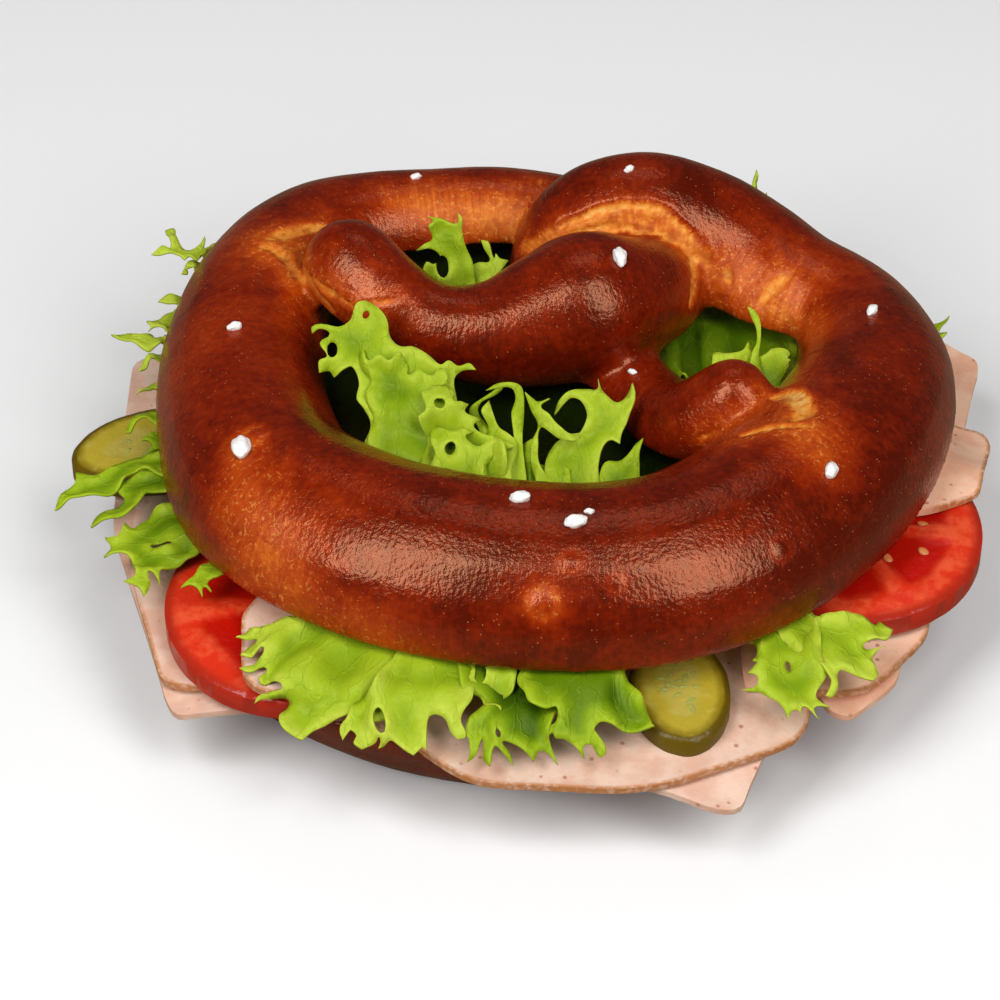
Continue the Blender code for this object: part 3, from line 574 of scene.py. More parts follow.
def make_crust_material():
    finish = {"Roughness": 0.22, "IOR": 1.65, "Specular_Tint": (1.0, 0.50, 0.28, 1)}
    material, tree, shader = new_material("crust", **finish)
    place = millimetres(tree)
    along = measured(tree, "along")
    split = add_node(tree, "SeparateXYZ", {0: place})
    rope = add_node(tree, "CombineXYZ", {0: along, 1: split.outputs[0], 2: split.outputs[2]}).outputs[0]
    brown = measured(tree, "brown")
    cloudy = calc(tree, "MULTIPLY_ADD", mottle(tree, place, 9.0, 4.0), 0.34, -0.17)
    grainy = calc(tree, "MULTIPLY_ADD", mottle(tree, place, 1.4, 4.0), 0.32, -0.16)
    lined = calc(tree, "SUBTRACT", mottle(tree, rope, 1.0, 3.0, (0.9, 9, 9)), 0.5)
    light = fade(tree, brown, 0.84, 0.45)
    streaky = calc(tree, "MULTIPLY_ADD", light, 0.28, 0.12)
    streaky = calc(tree, "MULTIPLY", streaky, fade(tree, brown, 0.2, 0.4, 0.3))
    fine = calc(tree, "MULTIPLY_ADD", lined, streaky, grainy)
    depth = calc(tree, "ADD", calc(tree, "ADD", brown, cloudy), fine)
    colour = shades(tree, depth, CRUST_SHADES)
    dots = add_node(tree, "TexVoronoi", {"Vector": place, "Scale": 0.70, "Randomness": 1.0})
    some = fade(tree, mottle(tree, place, 6.0), 0.40, 0.58)
    speck = calc(tree, "MULTIPLY", fade(tree, dots.outputs["Distance"], 0.15, 0.06), some)
    colour = blend(tree, calc(tree, "MULTIPLY", speck, 0.6), colour, SPECK_ORANGE)
    cells = add_node(tree, "TexVoronoi", {"Vector": place, "Scale": 1.0}, feature="DISTANCE_TO_EDGE")
    cracks = calc(tree, "MULTIPLY", fade(tree, cells.outputs["Distance"], 0.16, 0.04), light)
    cracks = calc(tree, "MULTIPLY", cracks, fade(tree, mottle(tree, place, 1.1, 3.0), 0.54, 0.64))
    colour = blend(tree, calc(tree, "MULTIPLY", cracks, 0.55), colour, CRACK_ORANGE)
    scorched = calc(tree, "MULTIPLY", fade(tree, mottle(tree, place, 3.2, 4.0), 0.52, 0.64), light)
    colour = blend(tree, calc(tree, "MULTIPLY", scorched, 0.45), colour, SCORCHED_BROWN)
    pores = mottle(tree, place, 1.6, 5.0)
    inner = blend(tree, fade(tree, pores, 0.35, 0.62), CRUMB_PORES, CRUMB_PALE)
    crumb = fade(tree, measured(tree, "crumb"), 0.3, 0.7)
    tree.links.new(blend(tree, crumb, colour, inner), shader.inputs["Base Color"])
    dull = calc(tree, "MAXIMUM", crumb, fade(tree, brown, 0.75, 0.3, 0.0, 0.6))
    rough = calc(tree, "MULTIPLY_ADD", mottle(tree, place, 5.0, 3.0), 0.12, 0.15)
    tree.links.new(blend(tree, dull, rough, CRUMB_ROUGH), shader.inputs["Roughness"])
    wrinkles = mottle(tree, place, 0.9, 2.5)
    lines = mottle(tree, rope, 1.0, 2.0, (0.8, 8, 8))
    surface = relief(tree, wrinkles, 0.15)
    surface = relief(tree, lines, 0.06, surface)
    surface = relief(tree, speck, 0.10, surface)
    tree.links.new(surface, shader.inputs["Normal"])
    return material


crust_material = make_crust_material()


# The upper half: the glossy lid of the sandwich, laid straight over where it was cut.

upper = baked_half("upper_half", CUT_HEIGHT, 100, UPPER_VOXEL)
bake_crust(upper, FILLING_HEIGHT)
upper.data.materials.clear()
upper.data.materials.append(crust_material)
upper_surface = BVHTree.FromObject(upper, bpy.context.evaluated_depsgraph_get())
serve(upper, "crust", "pretzel_top")


# The lower half: its flat underside stands on the floor, and it was shoved a little to the front when the
# pretzel was filled.

lower = baked_half("lower_half", 0, CUT_HEIGHT, LOWER_VOXEL)
bake_crust(lower, 0)
lower.data.transform(Matrix.Translation((*LOWER_HALF_SHIFT, 0)))
lower.data.materials.clear()
lower.data.materials.append(crust_material)
serve(lower, "crust", "pretzel_base")


# Coarse salt. A few white grains were strewn on the wet dough and baked into the crust: rounded lumps of
# sintered crystal, some of them two grown together, half sunk in the skin.

SALT = [
    (-58.5, -13, 3.0, 160),
    (-62.5, 28, 1.7, 10),
    (19.5, 42.5, 2.5, 30),
    (-2, -31, 2.2, 5),
    (9, -38, 2.3, 20),
    (11.8, -35.2, 1.0, 20),
    (61, -20, 2.1, 15),
    (74, 36, 1.7, 40),
    (22.5, 74, 1.2, 80),
    (-25, 90, 1.3, 30),
    (22.5, 26.5, 1.0, 50),
]
GRAIN_WIDTH = 0.64
GRAIN_HEIGHT = 0.6
GRAIN_SINK = 0.35
GRAIN_LEAN = (0.2, 0.1)
GRAIN_LUMPS = 0.256
SALT_GREY = (0.86, 0.82, 0.77)
SALT_WHITE = (0.95, 0.93, 0.90)


def salt_grain(joined, number, x, y, half, turn):
    """One grain, set on the crust straight below a place."""
    point, normal, _, _ = upper_surface.ray_cast(Vector((x, y, 100)), Vector((0, 0, -1)))
    grain = bmesh.new()
    bmesh.ops.create_icosphere(grain, subdivisions=4, radius=1.0)
    for vert in grain.verts:
        swell = noise.noise(vert.co * 1.3 + Vector((number, 0, 0))) + 0.22 * noise.noise(vert.co * 4)
        vert.co *= 1 + GRAIN_LUMPS * swell
    shape = Matrix.Diagonal((half, half * GRAIN_WIDTH, half * GRAIN_HEIGHT, 1))
    spin = Euler((*GRAIN_LEAN, math.radians(turn))).to_matrix().to_4x4()
    lean = normal.to_track_quat("Z", "Y").to_matrix().to_4x4()
    seat = Matrix.Translation(point + normal * half * (GRAIN_HEIGHT - GRAIN_SINK))
    grain.transform(seat @ lean @ spin @ shape)
    mesh = bpy.data.meshes.new("grain")
    grain.to_mesh(mesh)
    grain.free()
    joined.from_mesh(mesh)
    bpy.data.meshes.remove(mesh)


salt_mesh = bpy.data.meshes.new("salt")
all_grains = bmesh.new()
for number, grain_place in enumerate(SALT):
    salt_grain(all_grains, number, *grain_place)
all_grains.to_mesh(salt_mesh)
all_grains.free()
salt_material, salt_tree, salt_shader = new_material(
    "salt", Roughness=0.6, Subsurface_Weight=0.4, Subsurface_Scale=0.001, Subsurface_Radius=(1, 1, 1)
)
salt_clouds = mottle(salt_tree, millimetres(salt_tree), 0.8, 3.0)
salt_colour = shades(salt_tree, salt_clouds, [(0.35, SALT_GREY), (0.6, SALT_WHITE)])
salt_tree.links.new(salt_colour, salt_shader.inputs["Base Color"])
salt_tree.links.new(relief(salt_tree, salt_clouds, 0.05), salt_shader.inputs["Normal"])
salt_mesh.materials.append(salt_material)
serve(add_object("salt", salt_mesh), "crust")


# The cold cuts. Eight thin slices of cooked turkey ham, fanned out so that their corners show round the
# pretzel. The pressed meat is pale pink with specks of spice, and its round side has a browned rim.

SLICE_STEP = 1.6
SLICE_HEIGHT = 24


def top_of(node):
    """The upper faces of a slice's solid: a surface to lay things on, and its rim as a loop in plan."""
    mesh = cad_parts[node].data
    places = points_of(mesh) / MM + np.array(TRAY_ORIGIN)
    keys = [tuple(np.round(place, 2)) for place in places]
    faces = []
    sides = {}
    for face in mesh.polygons:
        corners = [keys[k] for k in face.vertices]
        normal = (Vector(corners[1]) - Vector(corners[0])).cross(Vector(corners[2]) - Vector(corners[0]))
        if normal.length == 0 or normal.normalized().z < 0.5:
            continue
        faces.append(corners)
        for a, b in zip(corners, corners[1:] + corners[:1]):
            sides[(a, b)] = True
    rim = {a: b for a, b in sides if (b, a) not in sides}
    loop = [next(iter(rim))]
    while rim[loop[-1]] != loop[0]:
        loop.append(rim[loop[-1]])
    corners = sorted({corner for face in faces for corner in face})
    number = {corner: k for k, corner in enumerate(corners)}
    surface = BVHTree.FromPolygons(corners, [[number[c] for c in face] for face in faces])
    return surface, np.array(loop)


def closed_curve(points, spacing):
    """Evenly spaced points of a smooth closed curve through a loop."""
    ring = np.vstack([points[-2:], points, points[:3]])
    count = len(ring)
    along = np.linspace(2 / (count - 1), (count - 3) / (count - 1), 12 * len(points))
    fine = curve_weights(along, count) @ ring
    lengths = np.concatenate([[0], np.cumsum(np.linalg.norm(np.diff(fine, axis=0), axis=1))])
    places = np.linspace(0, lengths[-1], max(8, round(lengths[-1] / spacing)), endpoint=False)
    return np.column_stack([np.interp(places, lengths, fine[:, k]) for k in range(fine.shape[1])])


def distance_outside(points, outline):
    """How far each point in plan is outside a closed outline; inside it the distance is negative."""
    nearest = np.full(len(points), np.inf)
    inside = np.zeros(len(points), bool)
    for a, b in zip(outline, np.roll(outline, -1, axis=0)):
        side = b - a
        share = np.clip(((points - a) @ side) / (side @ side), 0, 1)
        nearest = np.minimum(nearest, np.linalg.norm(points - a - share[:, None] * side, axis=1))
        if a[1] != b[1]:
            at_x = a[0] + (points[:, 1] - a[1]) / (b[1] - a[1]) * side[0]
            inside ^= ((a[1] > points[:, 1]) != (b[1] > points[:, 1])) & (points[:, 0] < at_x)
    return np.where(inside, -nearest, nearest)


def filled(outline, spacing, holes=()):
    """Points and triangles that fill a flat outline evenly, but for its holes."""
    pitch = np.array([spacing, spacing * math.sqrt(0.75)])
    low, high = outline.min(axis=0) // pitch, outline.max(axis=0) // pitch
    rows, columns = np.meshgrid(*(np.arange(low[k], high[k] + 1) for k in (1, 0)), indexing="ij")
    lattice = np.column_stack([(columns + 0.5 * (rows % 2)).ravel(), rows.ravel()]) * pitch
    lattice = lattice[distance_outside(lattice, outline) < -0.6 * spacing]
    loops = [outline]
    for hole in holes:
        lattice = lattice[distance_outside(lattice, hole) > 0.6 * spacing]
        loops.append(hole)
    starts = np.cumsum([0] + [len(loop) for loop in loops])
    bounds = [list(range(a, b)) for a, b in zip(starts, starts[1:])]
    flat = [Vector(point) for point in np.vstack(loops + [lattice])]
    verts, _, faces, *_ = delaunay_2d_cdt(flat, [], bounds, 1, 1e-4)
    made = np.array([tuple(vert) for vert in verts])
    faces = [tuple(face) for face in faces]
    if holes:
        middles = np.array([made[list(face)].mean(axis=0) for face in faces])
        kept = np.all([distance_outside(middles, hole) > 0 for hole in holes], axis=0)
        faces = [face for face, keep in zip(faces, kept) if keep]
    return made, faces


def evened(heights, faces, rounds):
    """Heights with the creases between a solid's flat faces smoothed out."""
    sides = np.array([(a, b) for face in faces for a, b in zip(face, face[1:] + face[:1])])
    for _ in range(rounds):
        total = heights.copy()
        count = np.ones(len(heights))
        for a, b in (sides.T, sides.T[::-1]):
            np.add.at(total, a, heights[b])
            np.add.at(count, a, 1)
        heights = total / count
    return heights


def cut_slice(node, step, wavy=0.0, seed=0):
    """A slice's shape from its solid: plan places, upper heights, triangles and distances from its rim."""
    surface, loop = top_of(node)
    outline = closed_curve(loop[:, :2], step)
    rng = np.random.default_rng(seed)
    phase = np.linspace(0, 2 * math.pi, len(outline), endpoint=False)
    waves = sum(np.sin(k * phase + rng.uniform(0, 6)) / k for k in (7, 11, 17, 26))
    middle = outline.mean(axis=0)
    away = outline - middle
    outline = outline + away / np.linalg.norm(away, axis=1)[:, None] * (wavy * waves)[:, None]
    places, faces = filled(outline, step)
    heights = []
    for x, y in places:
        point = surface.ray_cast(Vector((x, y, 100)), Vector((0, 0, -1)))[0]
        if point is None:
            near = surface.find_nearest(Vector((x, y, SLICE_HEIGHT)))[0]
            point = surface.find_nearest(Vector((x, y, near.z)))[0]
        heights.append(point.z)
    heights = evened(np.array(heights), faces, 10)
    return places, heights, faces, -distance_outside(places, outline)


def raised_slice(name, places, heights, faces, thickness):
    """A closed slice: its upper face, a lower face and a rim between them."""
    count = len(places)
    sheet = np.column_stack([places, heights])
    verts = np.vstack([sheet, sheet - (0, 0, thickness)])
    sides = {(a, b) for face in faces for a, b in zip(face, face[1:] + face[:1])}
    rim = [(a, b) for a, b in sides if (b, a) not in sides]
    solid = [tuple(face) for face in faces]
    solid += [tuple(k + count for k in reversed(face)) for face in faces]
    solid += [(b, a, a + count, b + count) for a, b in rim]
    mesh = bpy.data.meshes.new(name)
    mesh.from_pydata([tuple(vert) for vert in verts], [], solid)
    return add_object(name, mesh)


HAM_THICKNESS = 1.5
HAM_PINK = (0.72, 0.44, 0.32, 1)
HAM_PALE = (0.80, 0.56, 0.44, 1)
# A brightening for the slices that lie in the crust's shade: painted light.
HAM_ROSY = (1.3, 1.14, 1.02, 1)
HAM_RIM = (0.50, 0.20, 0.055, 1)
HAM_SPICE = (0.42, 0.10, 0.05, 1)
HAM_FIBRES = (0.86, 0.64, 0.52, 1)
# The back and right slices are painted lighter and rosier: painted light where the crust shades them.
ROSY_SLICES = {"ham_back_lower": 1.0, "ham_back_upper": 1.0, "ham_right_lower": 0.9, "ham_right_upper": 0.9}
BROWNED_SIDES = {
    "ham_left_upper": (-40, -60, 60),
    "ham_front_upper": (0, -80, 90),
    "ham_right_upper": (95, -20, 60),
    "ham_back_upper": (108, 10, 30),
}


def make_ham_material():
    finish = {"Roughness": 0.42, "Subsurface_Weight": 0.25, "Subsurface_Scale": 0.0015}
    material, tree, shader = new_material("cold_cut", **finish)
    place = millimetres(tree)
    pressed = mottle(tree, place, 7.0, 5.0)
    colour = blend(tree, fade(tree, pressed, 0.38, 0.62), HAM_PINK, HAM_PALE)
    fibres = mottle(tree, place, 1.1, 4.0)
    colour = blend(tree, fade(tree, fibres, 0.56, 0.78, 0.0, 0.35), colour, HAM_FIBRES)
    # Painted light: the slices in the crust's shade are multiplied brighter.
    colour = blend(tree, measured(tree, "rosy"), colour, HAM_ROSY, "MULTIPLY")
    dots = add_node(tree, "TexVoronoi", {"Vector": place, "Scale": 0.30, "Randomness": 1.0})
    some = fade(tree, mottle(tree, place, 4.0), 0.40, 0.54)
    spice = calc(tree, "MULTIPLY", fade(tree, dots.outputs["Distance"], 0.20, 0.07), some)
    colour = blend(tree, calc(tree, "MULTIPLY", spice, 0.75), colour, HAM_SPICE)
    rim = measured(tree, "rim")
    broken = fade(tree, mottle(tree, place, 1.3, 3.0), 0.34, 0.56)
    browned = calc(tree, "MULTIPLY", measured(tree, "browned"), fade(tree, rim, 1.1, 0.1))
    browned = calc(tree, "MULTIPLY", browned, calc(tree, "MULTIPLY_ADD", broken, 0.6, 0.35))
    colour = blend(tree, browned, colour, HAM_RIM)
    tree.links.new(colour, shader.inputs["Base Color"])
    moist = calc(tree, "MULTIPLY_ADD", mottle(tree, place, 5.0, 3.0), 0.3, 0.28)
    tree.links.new(moist, shader.inputs["Roughness"])
    surface = relief(tree, fibres, 0.12)
    surface = relief(tree, pressed, 0.25, surface)
    tree.links.new(surface, shader.inputs["Normal"])
    return material


ham_material = make_ham_material()
ham_nodes = [name for name in sorted(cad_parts) if name.startswith("ham_")]
for number, node in enumerate(ham_nodes):
    places, heights, faces, rim_distance = cut_slice(node, SLICE_STEP, 0.22, number)
    heights = heights + 0.16 * bumpy(np.column_stack([places, heights]), 14, number)
    piece = raised_slice("slice_" + node, places, heights, faces, HAM_THICKNESS)
    centre_x, centre_y, reach = BROWNED_SIDES.get(node, (0, 0, 0))
    near = np.linalg.norm(places - (centre_x, centre_y), axis=1)
    browned = 1 - smooth_step(near, 0.8 * reach, reach) if reach else np.zeros(len(places))
    keep_measure(piece.data, "rim", np.tile(rim_distance, 2))
    keep_measure(piece.data, "browned", np.tile(browned, 2))
    keep_measure(piece.data, "rosy", np.full(2 * len(places), ROSY_SLICES.get(node, 0.0)))
    piece.data.materials.append(ham_material)
    serve(piece, "ham", node)
    piece.data.set_sharp_from_angle(angle=math.radians(50))


# The tomato. Two slices of a ripe tomato: a thin red skin, a firm wall of paler flesh, spokes between
# chambers of darker jelly with seeds in it, and a fleshy core. Each has its number of chambers, how it is
# turned, and how much paler its flesh is painted: painted light on the right slice, which gets less lamp
# light.

TOMATO_THICKNESS = 4.5
TOMATO_WALL = 0.80
TOMATO_CORE = 0.22
TOMATO_SKIN = (0.42, 0.022, 0.008, 1)
TOMATO_FLESH = (0.68, 0.030, 0.008, 1)
TOMATO_PALE = (0.80, 0.12, 0.04, 1)
TOMATO_JELLY = (0.50, 0.006, 0.002, 1)
TOMATO_SEED = (0.72, 0.24, 0.07, 1)
TOMATO_STEP = 1.1
TOMATO_ROUNDING = 1.6
SEEDS_IN_A_TOMATO = 14
TOMATOES = {"tomato_left": (5, 0.5, 0.0), "tomato_right": (6, 2.2, 0.05)}


def make_tomato_material():
    finish = {"Roughness": 0.24, "Subsurface_Weight": 0.35, "Subsurface_Scale": 0.0015}
    material, tree, shader = new_material("tomato", **finish, Specular_IOR_Level=0.32)
    place = millimetres(tree)
    clouds = mottle(tree, place, 5.0, 4.0)
    streaks = mottle(tree, place, 1.6, 4.0)
    # The paler share is painted light, on the right slice.
    clouded = calc(tree, "MULTIPLY_ADD", clouds, 0.7, measured(tree, "paler"))
    pale = fade(tree, calc(tree, "MULTIPLY_ADD", streaks, 0.3, clouded), 0.45, 0.68)
    colour = blend(tree, calc(tree, "MULTIPLY", pale, 0.75), TOMATO_FLESH, TOMATO_PALE)
    colour = blend(tree, measured(tree, "jelly"), colour, TOMATO_JELLY)
    colour = blend(tree, fade(tree, measured(tree, "rim"), 3.0, 0.5), colour, TOMATO_SKIN)
    colour = blend(tree, fade(tree, measured(tree, "seed"), 0.4, 0.6), colour, TOMATO_SEED)
    tree.links.new(colour, shader.inputs["Base Color"])
    surface = relief(tree, streaks, 0.14)
    surface = relief(tree, clouds, 0.3, surface)
    tree.links.new(surface, shader.inputs["Normal"])
    return material


def add_seeds(piece, seeds):
    """Adds flat seeds to a slice, each from its place, its turn and its size."""
    joined = bmesh.new()
    joined.from_mesh(piece.data)
    marked = joined.verts.layers.float.new("seed")
    for place, turn, size in seeds:
        pip = bmesh.ops.create_icosphere(joined, subdivisions=2, radius=1.0)
        turned = Euler(turn).to_matrix().to_4x4()
        shape = Matrix.Translation(place) @ turned @ Matrix.Diagonal((*size, 1))
        bmesh.ops.transform(joined, matrix=shape, verts=pip["verts"])
        for vert in pip["verts"]:
            vert[marked] = 1.0
    joined.to_mesh(piece.data)
    joined.free()


tomato_material = make_tomato_material()
for number, (node, (chambers, turn, paler)) in enumerate(TOMATOES.items()):
    places, heights, faces, rim_distance = cut_slice(node, TOMATO_STEP)
    middle = (places.max(axis=0) + places.min(axis=0)) / 2
    reach = np.linalg.norm(places - middle, axis=1)
    share = reach / (reach + rim_distance)
    angle = np.arctan2(places[:, 1] - middle[1], places[:, 0] - middle[0])
    ragged = bumpy(np.column_stack([places, heights]), 4, number)
    spoke = np.abs(((angle + turn) * chambers / (2 * math.pi)) % 1 - 0.5) * 2
    between = smooth_step(spoke + 0.06 * ragged, 0.86, 0.66)
    ring = smooth_step(share + 0.04 * ragged, TOMATO_CORE, TOMATO_CORE + 0.12)
    jelly = between * ring * smooth_step(share + 0.04 * ragged, TOMATO_WALL, TOMATO_WALL - 0.10)
    edge = np.maximum(0, TOMATO_ROUNDING - rim_distance) / TOMATO_ROUNDING
    heights = heights - 0.45 * jelly - 0.5 * edge**3 + 0.08 * ragged
    piece = raised_slice(node + "_slice", places, heights, faces, TOMATO_THICKNESS)
    keep_measure(piece.data, "rim", np.concatenate([rim_distance, np.zeros(len(places))]))
    keep_measure(piece.data, "jelly", np.tile(jelly, 2))
    # Painted light: the right slice's flesh is made paler.
    keep_measure(piece.data, "paler", np.full(2 * len(places), paler))
    rng = np.random.default_rng(number + 40)
    seeds = []
    for k in rng.choice(np.flatnonzero(jelly > 0.8), SEEDS_IN_A_TOMATO, replace=False):
        turn = (rng.uniform(-0.3, 0.3), rng.uniform(-0.3, 0.3), angle[k])
        seeds.append(((*places[k], heights[k] + 0.1), turn, (rng.uniform(1.3, 1.7), 0.95, 0.42)))
    add_seeds(piece, seeds)
    piece.data.materials.append(tomato_material)
    serve(piece, "tomato", node)
    piece.data.set_sharp_from_angle(angle=math.radians(60))


# The gherkins. Two slices of a pickled gherkin, cut lengthways: olive skin with a slightly scalloped edge,
# a firm translucent ring of flesh, and a wet core of seeds.

GHERKIN_THICKNESS = 4.2
GHERKIN_SKIN = (0.125, 0.080, 0.002, 1)
GHERKIN_RING = (0.26, 0.185, 0.008, 1)
GHERKIN_FLESH = (0.45, 0.35, 0.030, 1)
GHERKIN_CORE = (0.48, 0.385, 0.065, 1)
GHERKIN_CLOUDS = (0.56, 0.46, 0.12, 1)
GHERKIN_SEED = (0.49, 0.40, 0.085, 1)
GHERKIN_STEP = 0.9
GHERKIN_ROUNDING = 1.4
SEEDS_IN_A_GHERKIN = 16
GHERKINS = ["gherkin_front", "gherkin_left"]


def make_gherkin_material():
    finish = {"Roughness": 0.32, "Subsurface_Weight": 0.4, "Subsurface_Scale": 0.002}
    material, tree, shader = new_material("gherkin", **finish, Specular_IOR_Level=0.28)
    place = millimetres(tree)
    clouds = mottle(tree, place, 3.0, 4.0)
    rim = calc(tree, "ADD", measured(tree, "rim"), calc(tree, "MULTIPLY_ADD", clouds, 1.2, -0.6))
    colour = blend(tree, fade(tree, rim, 1.5, 3.4), GHERKIN_RING, GHERKIN_FLESH)
    colour = blend(tree, measured(tree, "core"), colour, GHERKIN_CORE)
    colour = blend(tree, fade(tree, clouds, 0.5, 0.8, 0.0, 0.5), colour, GHERKIN_CLOUDS)
    colour = blend(tree, fade(tree, measured(tree, "rim"), 1.7, 0.9), colour, GHERKIN_SKIN)
    colour = blend(tree, fade(tree, measured(tree, "seed"), 0.4, 0.6), colour, GHERKIN_SEED)
    tree.links.new(colour, shader.inputs["Base Color"])
    surface = relief(tree, clouds, 0.35)
    surface = relief(tree, mottle(tree, place, 0.9, 2.0), 0.1, surface)
    tree.links.new(surface, shader.inputs["Normal"])
    return material


gherkin_material = make_gherkin_material()
for number, node in enumerate(GHERKINS):
    places, heights, faces, rim_distance = cut_slice(node, GHERKIN_STEP, 0.4, number + 7)
    deepest = rim_distance.max()
    ragged = bumpy(np.column_stack([places, heights]), 2.5, number + 3)
    core = smooth_step(rim_distance / deepest + 0.08 * ragged, 0.5, 0.68)
    edge = np.maximum(0, GHERKIN_ROUNDING - rim_distance) / GHERKIN_ROUNDING
    heights = heights - 0.6 * edge**3 - 0.25 * core + 0.12 * ragged * core
    piece = raised_slice(node + "_slice", places, heights, faces, GHERKIN_THICKNESS)
    keep_measure(piece.data, "rim", np.concatenate([rim_distance, np.zeros(len(places))]))
    keep_measure(piece.data, "core", np.tile(core, 2))
    rng = np.random.default_rng(number + 90)
    seeds = []
    for k in rng.choice(np.flatnonzero(core > 0.7), SEEDS_IN_A_GHERKIN, replace=False):
        turn = (0, 0, rng.uniform(0, math.pi))
        seeds.append(((*places[k], heights[k] - 0.15), turn, (rng.uniform(1.0, 1.5), 0.55, 0.25)))
    add_seeds(piece, seeds)
    piece.data.materials.append(gherkin_material)
    serve(piece, "gherkin", node)
    piece.data.set_sharp_from_angle(angle=math.radians(60))


# The lettuce. Eleven torn pieces of curly green leaf, some with several blades on one stalk: thin, with a
# frilled margin of pointed teeth, paler towards the margin, laid on the slices and pressed by the crust.

LEAF_THICKNESS = 0.45
LEAF_STEP = 0.85
LEAF_CLEARANCE = 0.9
LEAF_LIFT = 0.6
CLEARING_PASSES = 12


def blade(net, folds, fold_height, seed, lobes=(), cut=(), dark=0.0, taper=0.0, holes=()):
    """One blade of a leaf. Its net has rows of points (X, Y, Z) from the hidden root out to the notches
    between its lobes. A lobe is its share of the margin, its length and the sideways lean of its tip, and
    with a taper the margin falls towards the root at both sides. Or the blade is cut to an outline, in
    millimetres across and outward on the flat blade, with a third value at pointed tips. A hole is torn at
    such a place, with a radius. A blade's painted shade darkens its green, and at 1.0 makes it a
    near-black bed laid in a hole where there is only shade."""
    return {
        "net": np.array(net, float),
        "lobes": lobes,
        "cut": cut,
        "folds": folds,
        "fold_height": fold_height,
        "seed": seed,
        "dark": dark,
        "taper": taper,
        "holes": holes,
    }


